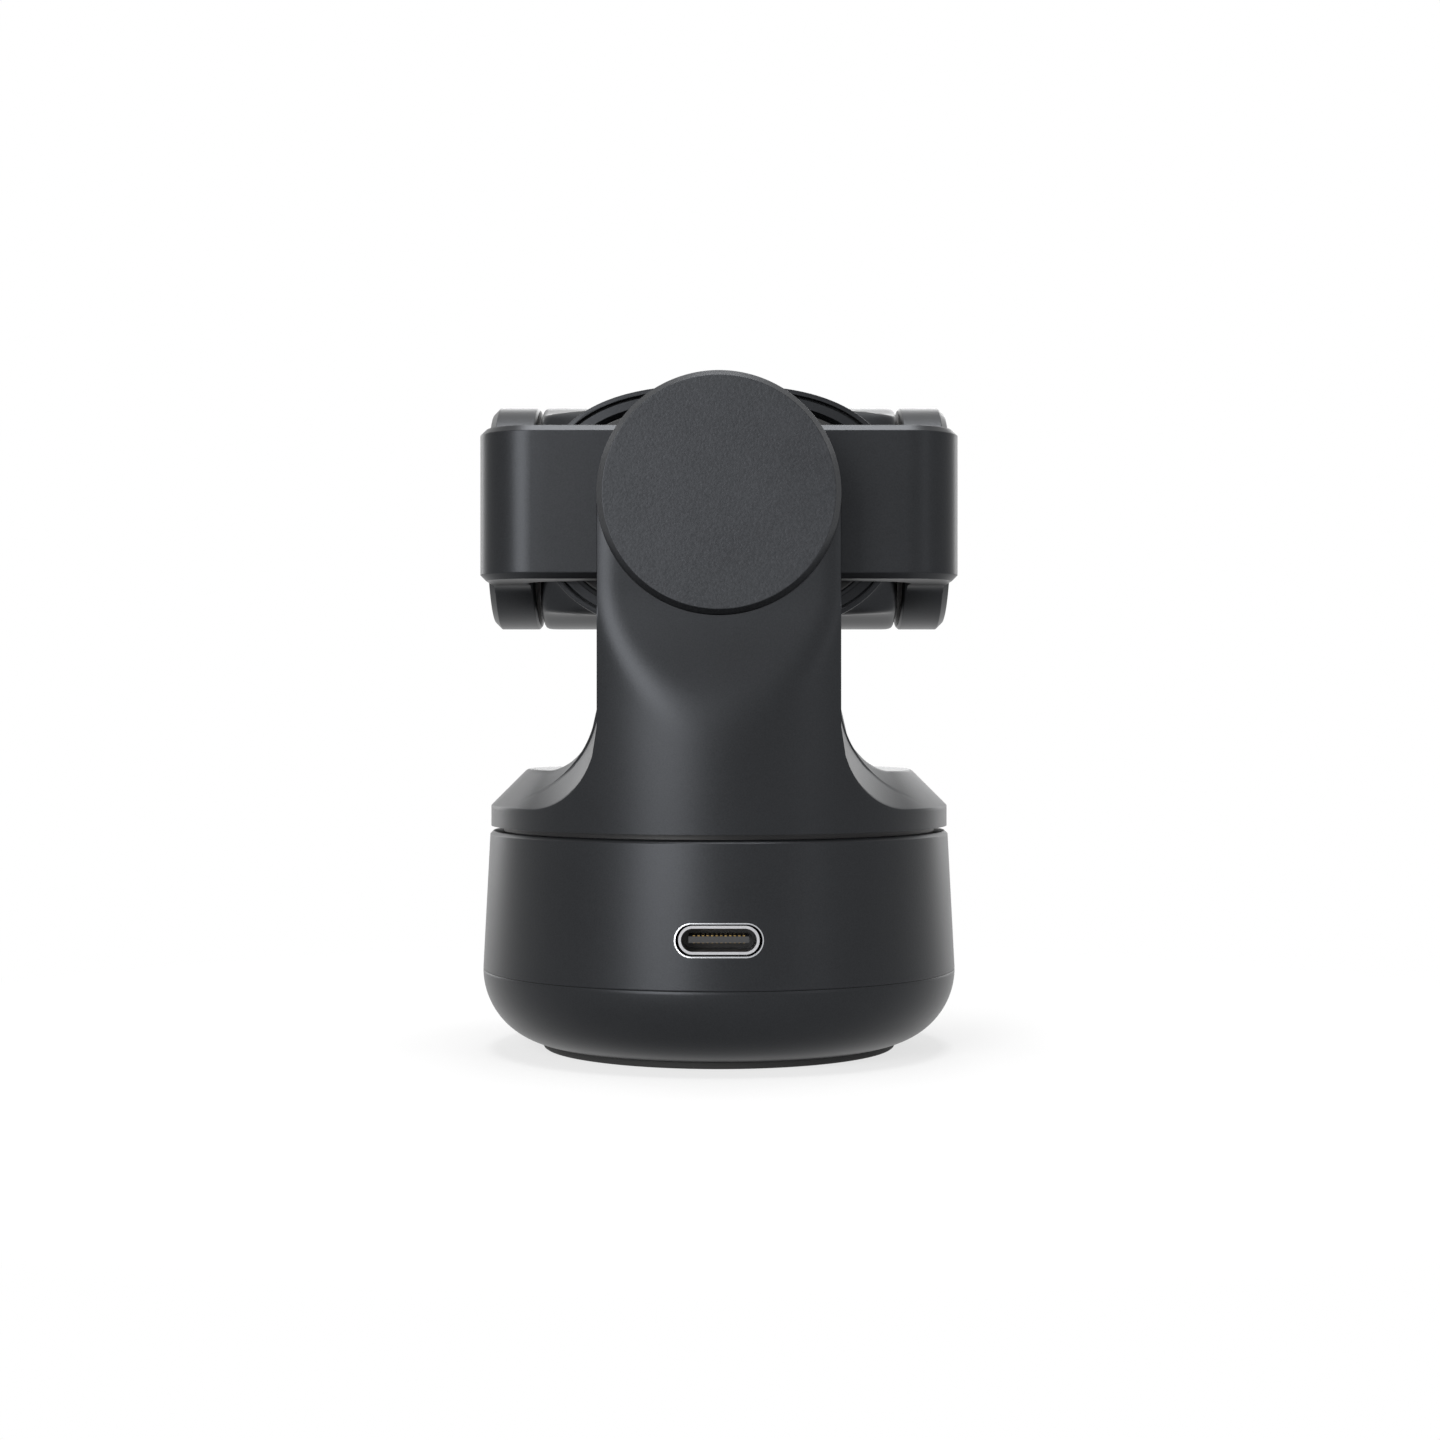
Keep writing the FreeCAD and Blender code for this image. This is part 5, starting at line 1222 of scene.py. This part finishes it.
@dataclass
class YokeUnit:
    """The U-shaped band with its hub, the two pods and their caps."""

    roll_z: float = 64.5
    tilt_y: float = 11.2
    half_h: float = 8.9
    corner_r: float = 6.5
    chamfer: float = 0.7
    pod_r: float = 13.85
    pod_x: Pair = (22.3, 28.0)
    pod_chamfer: float = 0.8
    room_r: float = 12.3
    floor: float = 1.2
    hub: Pair = (12.9, 3.4)
    hub_fillet: float = 6.0
    pod_fillet: float = 3.0
    inner_corner: Pair = (18.0, 4.3)
    sweep_gap: float = 0.6
    rim: Quad = (21.7, 15.0, -2.8, 2.6)

    def __post_init__(self) -> None:
        """Take the overall sizes from the CAD boxes."""
        low, high = mm_box("yoke_arm")
        self.rear_y = low[1]
        self.half_w = high[0]

    def swept(self, x: float) -> float:
        """Rearmost place that the head's rim reaches at a distance across."""
        half_w, half_h, rim_y, power = self.rim
        reach = math.hypot(self.tilt_y - rim_y, oval_half_height(x, half_w, half_h, power))
        return self.tilt_y - reach - self.sweep_gap

    def plan(self) -> list[Pair]:
        """The band seen from above, counter-clockwise."""
        outer, corner = self.half_w, self.half_w - self.corner_r
        inner_x, inner_r = self.inner_corner
        pod_in = self.pod_x[0]
        side_y, middle_y = self.swept(inner_x), self.swept(0.0)
        rise = side_y - middle_y
        radius = (inner_x ** 2 + rise ** 2) / (2 * rise)
        centre_y = middle_y + radius
        swing = math.degrees(math.asin(inner_x / radius))
        right = [(corner * step / 10, self.rear_y) for step in range(11)]
        right += arc_points((corner, self.rear_y + self.corner_r), self.corner_r, -90, 0, 20)[1:]
        wall = self.rear_y + self.corner_r
        right += [(outer, wall + (self.tilt_y - wall) * step / 8) for step in range(1, 9)]
        right += [(pod_in, self.tilt_y)]
        inner_wall = side_y + inner_r
        right += [(pod_in, self.tilt_y + (inner_wall - self.tilt_y) * step / 6) for step in range(1, 7)]
        right += arc_points((inner_x, inner_wall), inner_r, 0, -90, 14)[1:]
        right += arc_points((0.0, centre_y), radius, swing - 90, -90, 20)[1:]
        left = [(-x, y) for x, y in right[1:-1]]
        return right + left[::-1]

    def wedge(self, radius: float, fillet: float, level: float) -> list[Pair]:
        """Outline of the fillet between a level edge and a circle that rises from it.

        Args:
            radius: The circle's radius.
            fillet: The fillet's radius.
            level: Height of the edge over the circle's middle.

        Returns:
            The outline as (distance, height) about the circle's middle.
        """
        middle_y = level + fillet
        middle_x = -math.sqrt((radius + fillet) ** 2 - middle_y ** 2)
        share = radius / (radius + fillet)
        touch = (middle_x * share, middle_y * share)
        start = math.degrees(math.atan2(touch[1] - middle_y, touch[0] - middle_x))
        arc = arc_points((middle_x, middle_y), fillet, -90, start, 12)
        low, near = level - 1.5, touch[0] + 2.0
        return [(middle_x, low), (near, low), (near, touch[1] - 0.3)] + arc[::-1]

    def arm(self) -> None:
        """The casting: band, hub and pods joined, then hollowed for the motors."""
        band = prism("yoke_arm_skin", self.plan(), -self.half_h, self.half_h,
                     Matrix.Translation((0, 0, self.roll_z)), edge=self.chamfer)
        hub_r, hub_t = self.hub
        axis = turned(Axis.BACK, (0.0, 0.0, self.roll_z))
        rear = -self.rear_y
        joined = [lathe("hub", [(0, rear - hub_t, 0), (hub_r, rear - hub_t, 0.1), (hub_r, rear - 0.02, 0.15),
                                (0, rear - 0.02, 0)], axis, 160, closed=False)]
        pod_in, pod_out = self.pod_x
        edge = self.pod_chamfer
        for aim in (Axis.LEFT, Axis.RIGHT):
            place = turned(aim, (0.0, self.tilt_y, self.roll_z))
            joined.append(lathe("pod", [(0, pod_in + 0.01, 0), (self.pod_r - 0.3, pod_in + 0.01, 0.14),
                                        (self.pod_r, pod_in + 0.3, 0.14), (self.pod_r, pod_out - edge, 0.12),
                                        (self.pod_r - edge, pod_out, 0.12), (0, pod_out, 0)], place, 192,
                                closed=False, steps=5))
        for side in (-1, 1):
            for flip in (-1, 1):
                outline = self.wedge(self.pod_r, self.pod_fillet, self.half_h)
                turn = Matrix(((0, 0, 1, 0), (1, 0, 0, self.tilt_y), (0, flip, 0, self.roll_z), (0, 0, 0, 1)))
                low, high = sorted((side * (pod_in + 0.55), side * (pod_out - 0.75)))
                joined.append(prism("pod_fillet", outline, low, high, turn))
                outline = self.wedge(hub_r, self.hub_fillet, self.half_h)
                turn = Matrix(((-side, 0, 0, 0), (0, 0, 1, 0), (0, flip, 0, self.roll_z), (0, 0, 0, 1)))
                joined.append(prism("hub_fillet", outline, self.rear_y + 0.7, self.rear_y + hub_t - 0.1,
                                    turn))
        arm = combined(band, joined, "UNION")
        tools = [cylinder("axle", 2.47, 8.0, 16.0, axis)]
        hubs = []
        for aim in (Axis.LEFT, Axis.RIGHT):
            place = turned(aim, (0.0, self.tilt_y, self.roll_z))
            tools.append(cylinder("pod_room", self.room_r, pod_in + self.floor, 30.0, place, 160))
            hubs.append(cylinder("bearing_hub", 5.7, pod_in + 0.3, pod_in + 3.1, place))
        arm = combined(arm, tools, "DIFFERENCE")
        arm = combined(arm, hubs, "UNION")
        seats = [cylinder("seat", 4.5, pod_in - 1.0, 30.0, turned(aim, (0.0, self.tilt_y, self.roll_z)))
                 for aim in (Axis.LEFT, Axis.RIGHT)]
        finished(combined(arm, seats, "DIFFERENCE"), Body.YOKE, "dark_aluminium", ["yoke_arm"])

    def caps(self) -> None:
        """The pods' round caps, each with a fine ring groove."""
        for aim, node in ((Axis.LEFT, "pod_cap_left"), (Axis.RIGHT, "pod_cap_right")):
            low, high = mm_box(node)
            radius = (high[2] - low[2]) / 2
            near, far = sorted((abs(low[0]), abs(high[0])))
            corners = [(0, near, 0), (radius, near, 0.05), (radius, far - 0.3, 0.08),
                       (radius - 0.3, far, 0.08), (radius - 1.6, far, 0.05),
                       (radius - 1.75, far - 0.12, 0.05), (radius - 1.9, far, 0.05), (0, far, 0)]
            place = turned(aim, (0.0, self.tilt_y, self.roll_z))
            piece = lathe(node + "_skin", corners, place, 192, closed=False)
            finished(piece, Body.YOKE, "blasted_cap", [node])

    def build(self) -> None:
        """Make and dress the yoke."""
        self.arm()
        self.caps()


# ---- head ---------------------------------------------------------------------------------------
def oval_ring(half_w: float, half_h: float, y: float, power: float, middle_z: float,
              steps: int = 44) -> list[Triple]:
    """Points of an oval in a plane of constant Y, closest together at its corners."""
    lean = math.atan2(half_h, half_w)
    quarter = []
    for step in range(steps):
        share = step / steps
        if share < 0.5:
            angle = lean * (1 - (1 - 2 * share) ** 1.7)
        else:
            angle = lean + (math.pi / 2 - lean) * (2 * share - 1) ** 1.7
        quarter.append(angle)
    angles = quarter + [math.pi - a for a in [math.pi / 2] + quarter[:0:-1]]
    angles += [math.pi + a for a in quarter] + [2 * math.pi - a for a in [math.pi / 2] + quarter[:0:-1]]
    ring = []
    for angle in angles:
        across, upward = math.cos(angle), math.sin(angle)
        reach = ((abs(across) / half_w) ** power + (abs(upward) / half_h) ** power) ** (-1 / power)
        ring.append((across * reach, y, middle_z + upward * reach))
    return ring


@dataclass
class HeadUnit:
    """The tilting head: flared shell, bevelled rear ring and cover, front panel and lens ring."""

    roll_z: float = 64.5
    tilt_y: float = 11.2
    half_w: float = 21.8
    radius: float = 13.85
    power: float = 2.6
    middle_power: float = 60.0
    rear: Triple = (21.68, 14.965, -2.8)
    front: Triple = (21.0, 14.2, 27.9)
    rear_flare: Pair = (7.2, 12.1)
    lip: float = 1.3
    front_flare: Pair = (8.0, 12.0)
    rim_t: float = 0.6
    ring: Quad = (0.2, 1.5, 1.0, 0.2)
    panel_rim: float = 1.5
    panel_inset: float = 0.5
    panel_t: float = 1.5

    def section(self, y: float) -> list[Triple]:
        """The outside of the shell at a place along the lens axis."""
        rear_w, rear_h, rear_y = self.rear
        front_w, front_h, front_y = self.front
        barrel = math.sqrt(max(0.0, self.radius ** 2 - (y - self.tilt_y) ** 2))
        back = max(0.0, min(1.0, (y - rear_y - self.lip) / (self.rear_flare[0] - self.lip)))
        ahead = max(0.0, min(1.0, (front_y - y) / self.front_flare[0]))
        rise_back = self.rear_flare[1] + (rear_h - self.rear_flare[1]) * (1 - back) ** 2.3
        rise_ahead = self.front_flare[1] + (front_h - self.front_flare[1]) * (1 - ahead) ** 2.0
        flare = rise_back if y < self.tilt_y else rise_ahead
        height = -soft_min(-barrel, -flare, 1.2) if barrel > 8 else flare
        height = min(height, max(self.radius, flare))
        edge = smooth_step(back) * smooth_step(ahead)
        width = self.half_w - (1 - smooth_step(back)) * (self.half_w - rear_w)
        width -= (1 - smooth_step(ahead)) * (self.half_w - front_w)
        power = self.power * (self.middle_power / self.power) ** (edge ** 1.6)
        return oval_ring(width, height, y, power, self.roll_z)

    def shell(self) -> None:
        """The flared outside, hollowed for the ring, the board, the lens and the panel."""
        rear_w, rear_h, rear_y = self.rear
        front_w, front_h, front_y = self.front
        small = 0.1
        rings = [oval_ring(rear_w - small, rear_h - small, rear_y, self.power, self.roll_z),
                 oval_ring(rear_w - small * 0.3, rear_h - small * 0.3, rear_y + small * 0.3, self.power,
                           self.roll_z)]
        stations = [rear_y + small]
        while stations[-1] < front_y - small:
            near = min(stations[-1] - rear_y, front_y - stations[-1])
            stations.append(min(stations[-1] + 0.18 + 0.09 * near, front_y - small))
        rings += [self.section(y) for y in stations]
        rings += [oval_ring(front_w - small * 0.3, front_h - small * 0.3, front_y - small * 0.3, self.power,
                            self.roll_z),
                  oval_ring(front_w - small, front_h - small, front_y, self.power, self.roll_z)]
        points, faces = lofted(rings, True, False, True)
        skin = mesh_object("head_shell_skin", points, faces)
        _, _, ring_t, inset = self.ring
        seat = rear_y + inset + ring_t
        mouth_w, mouth_h = rear_w - self.rim_t, rear_h - self.rim_t
        tools = [self.plug("pocket", mouth_w, mouth_h, rear_y, seat, 0.1),
                 self.plug("room", 19.4, 11.3, seat - 0.5, 7.0, 0.0),
                 self.plug("lens_room", 18.2, 10.1, 6.5, 26.4, 0.0),
                 self.plug("panel_seat", front_w - self.panel_rim, front_h - self.panel_rim, front_y,
                           front_y - self.panel_inset - self.panel_t, 0.1)]
        skin = combined(skin, tools, "DIFFERENCE")
        ways = [cylinder("shaft_way", 2.6, 16.0, 24.0, turned(aim, (0.0, self.tilt_y, self.roll_z)))
                for aim in (Axis.LEFT, Axis.RIGHT)]
        finished(combined(skin, ways, "DIFFERENCE"), Body.HEAD, "dark_aluminium", ["head_shell"])

    def plug(self, name: str, half_w: float, half_h: float, start: float, end: float,
             mouth: float) -> bpy.types.Object:
        """An oval tool that cuts from a face inwards, a little wider at its mouth."""
        sense = 1 if end > start else -1
        levels = [(mouth + 0.3, start - sense * 0.3)] if mouth else []
        levels += [(0.0, start + sense * mouth), (0.0, end)]
        rings = [oval_ring(half_w + more, half_h + more, y, self.power, self.roll_z, 24)
                 for more, y in levels]
        points, faces = lofted(rings, True, False, True)
        return mesh_object(name, points, faces)

    def oval_solid(self, name: str, levels: Sequence[Triple], looped: bool) -> bpy.types.Object:
        """A solid of ovals given as (half-width, half-height, y)."""
        rings = [oval_ring(w, h, y, self.power, self.roll_z) for w, h, y in levels]
        points, faces = lofted(rings, True, looped, not looped)
        return mesh_object(name, points, faces)

    def back(self) -> None:
        """The bevelled ring in the rear rim and the dark cover inside it."""
        rear_w, rear_h, rear_y = self.rear
        gap, ring_w, ring_t, inset = self.ring
        start = rear_y + inset
        bevel = ring_w * 0.3
        path = rounded_path([(0.0, start + ring_t, 0), (0.0, start + 0.1, 0.1), (ring_w - bevel, start, 0.1),
                             (ring_w, start + bevel, 0.08), (ring_w, start + ring_t, 0)], False, 3, 0.04)
        off = self.rim_t + gap
        levels = [(rear_w - off - i, rear_h - off - i, y) for i, y in path]
        piece = self.oval_solid("rear_ring_skin", levels, True)
        finished(piece, Body.HEAD, "dark_aluminium", ["head_rear_ring"])
        low, high = mm_box("head_rear_cover")
        off += ring_w + 0.1
        path = rounded_path([(0.0, high[1], 0.05), (0.0, low[1], 0.1), (3.0, low[1], 0)], False, 3, 0.04)
        levels = [(rear_w - off - i, rear_h - off - i, y) for i, y in path]
        piece = self.oval_solid("rear_cover_skin", levels, False)
        finished(piece, Body.HEAD, "smoked_cover", ["head_rear_cover"])

    def face(self) -> None:
        """The dark panel with its ways, and the metal ring round the lens window."""
        low, high = mm_box("front_panel")
        half_w, half_h = high[0], (high[2] - low[2]) / 2
        path = [(0.0, low[1]), (0.0, high[1] - 0.15), (0.045, high[1] - 0.045), (0.15, high[1]),
                (2.0, high[1])]
        panel = self.oval_solid("front_panel_skin", [(half_w - i, half_h - i, y) for i, y in path], False)
        axis = turned(Axis.FORWARD, (0.0, 0.0, self.roll_z))
        tools = [cylinder("lens_way", 9.6, 20.0, 30.0, axis, 128),
                 cylinder("light_way", 0.8, 20.0, 30.0, turned(Axis.FORWARD, (12.4, 0.0, self.roll_z)), 40)]
        tools += [cylinder("sound_way", 0.5, 20.0, 30.0,
                           turned(Axis.FORWARD, (side * 15.9, 0.0, self.roll_z)), 32) for side in (-1, 1)]
        finished(combined(panel, tools, "DIFFERENCE"), Body.HEAD, "panel_gloss", ["front_panel"])
        low, high = mm_box("lens_trim_ring")
        back, face = low[1], high[1]
        corners = [(7.9, back, 0.1), (9.9, back, 0.1), (9.9, 25.9, 0.05), (9.5, 25.9, 0), (9.5, face, 0.12),
                   (8.95, face, 0.1), (8.6, face - 0.35, 0.06), (8.6, 26.5, 0), (7.9, 26.5, 0.08)]
        finished(lathe("lens_ring_skin", corners, axis, 192), Body.HEAD, SLOT_OF_NODE["lens_trim_ring"],
                 ["lens_trim_ring"])

    def build(self) -> None:
        """Make and dress the head."""
        self.shell()
        self.back()
        self.face()


# ---- what shows of the CAD itself ---------------------------------------------------------------
def dress_inner_parts() -> None:
    """Paint every CAD node that still shows with its slot's finish."""
    for name, piece in frame["nodes"].items():
        if piece.hide_render:
            continue
        slot = SLOT_OF_NODE[name]
        paint = PAINTS.get(slot)
        if not piece.data.materials:
            piece.data.materials.append(paint)
        for index in range(len(piece.data.materials)):
            piece.data.materials[index] = paint
        LOG.info("%-22s kept, finish %s", name, slot)


# ---- studio -------------------------------------------------------------------------------------
LAMPS: tuple[tuple[str, Triple, Pair, float], ...] = (
    ("key", (-0.40, -0.80, 0.28), (0.44, 0.60), 6.4),
    ("right_card", (0.62, -0.62, 0.22), (0.14, 0.60), 0.4),
    ("left_rim", (-0.60, 0.72, 0.22), (0.30, 0.60), 1.1),
    ("right_rim", (0.58, 0.74, 0.22), (0.30, 0.60), 0.9),
    ("overhead", (0.0, 0.05, 0.95), (0.44, 0.40), 7.4),
    ("far_side", (0.10, 0.95, 0.42), (0.50, 0.40), 1.8),
)


@dataclass
class Studio:
    """The floor, the lamps and the camera."""

    eye: Triple = (0.12, -289.3, 39.25)
    lens: float = 59.7
    floor_half: float = 6.0
    ambient: float = 0.20
    floor_grey: float = 0.93
    floor_roughness: float = 0.9
    floor_gloss: float = 0.1
    shadow_r: float = 0.045
    shadow_rise: float = 12.0
    shadow_share: float = 0.28
    aim_z: float = 0.04

    def floor(self) -> None:
        """A pale floor that keeps the object's shadow and fades to white around it."""
        half = self.floor_half
        mesh = bpy.data.meshes.new("floor")
        corners = [(-half, -half, 0), (half, -half, 0), (half, half, 0), (-half, half, 0)]
        mesh.from_pydata(corners, [], [(0, 1, 2, 3)])
        floor = bpy.data.objects.new("floor", mesh)
        bpy.context.scene.collection.objects.link(floor)
        shader = Shader("pale_floor")
        shader.main.inputs["Base Color"].default_value = (*[self.floor_grey] * 3, 1.0)
        shader.main.inputs["Roughness"].default_value = self.floor_roughness
        shader.main.inputs["Specular IOR Level"].default_value = self.floor_gloss
        paths = shader.node("ShaderNodeLightPath").outputs
        seen = (shader.val(paths["Is Camera Ray"]) + shader.val(paths["Is Glossy Ray"])
                + shader.val(paths["Is Transmission Ray"])).clamped()
        across, along, _ = shader.axes()
        near = ((across * across + along * along) ** 0.5 - self.shadow_r) * self.shadow_rise
        share = seen * (near.clamped() * self.shadow_share + (1 - self.shadow_share))
        white = shader.node("ShaderNodeEmission", inputs={"Color": (1.0, 1.0, 1.0, 1.0), "Strength": 1.0})
        mix = shader.node("ShaderNodeMixShader", inputs={0: share})
        shader.tree.links.new(shader.main.outputs[0], mix.inputs[1])
        shader.tree.links.new(white.outputs[0], mix.inputs[2])
        shader.tree.links.new(mix.outputs[0], shader.output.inputs["Surface"])
        mesh.materials.append(shader.material)

    def world(self) -> None:
        """Even light from all round, white where it is seen."""
        world = bpy.data.worlds.new("studio")
        bpy.context.scene.world = world
        world.use_nodes = True
        tree = world.node_tree
        tree.nodes.clear()
        output = tree.nodes.new("ShaderNodeOutputWorld")
        plain = tree.nodes.new("ShaderNodeBackground")
        plain.inputs[1].default_value = self.ambient
        bright = tree.nodes.new("ShaderNodeBackground")
        bright.inputs[1].default_value = 1.0
        for shade in (plain, bright):
            shade.inputs[0].default_value = (1.0, 1.0, 1.0, 1.0)
        path = tree.nodes.new("ShaderNodeLightPath")
        mix = tree.nodes.new("ShaderNodeMixShader")
        seen = (Val(tree, path.outputs["Is Camera Ray"]) + Val(tree, path.outputs["Is Glossy Ray"])
                + Val(tree, path.outputs["Is Transmission Ray"])).clamped()
        tree.links.new(seen.socket, mix.inputs[0])
        tree.links.new(plain.outputs[0], mix.inputs[1])
        tree.links.new(bright.outputs[0], mix.inputs[2])
        tree.links.new(mix.outputs[0], output.inputs[0])

    def lamp(self, name: str, place: Triple, size: Pair, power: float) -> None:
        """A soft rectangular lamp that faces the object."""
        data = bpy.data.lights.new(name, "AREA")
        data.shape = "RECTANGLE"
        data.size, data.size_y = size
        data.energy = power
        lamp = bpy.data.objects.new(name, data)
        lamp.location = place
        aim = Vector((0, 0, self.aim_z)) - Vector(place)
        lamp.rotation_euler = aim.to_track_quat("-Z", "Y").to_euler()
        bpy.context.scene.collection.objects.link(lamp)

    def camera(self) -> None:
        """The level camera behind the object."""
        data = bpy.data.cameras.new("camera")
        data.lens = self.lens
        data.sensor_width = 36.0
        camera = bpy.data.objects.new("camera", data)
        camera.location = Vector(self.eye) * MM
        camera.rotation_euler = (math.pi / 2, 0.0, 0.0)
        bpy.context.scene.collection.objects.link(camera)
        bpy.context.scene.camera = camera

    def build(self) -> None:
        """Set the studio up."""
        self.floor()
        self.world()
        for name, place, size, power in LAMPS:
            self.lamp(name, place, size, power)
        self.camera()
        bpy.context.scene.view_settings.view_transform = "Standard"


def main() -> None:
    """Build the object from its base upwards, dress what stays and set the studio."""
    logging.basicConfig(level=logging.INFO, format="%(message)s")
    for unit in (BaseUnit(), PanUnit(), YokeUnit(), HeadUnit()):
        unit.build()
    dress_inner_parts()
    Studio().build()
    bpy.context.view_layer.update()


if __name__ == "__main__":
    main()
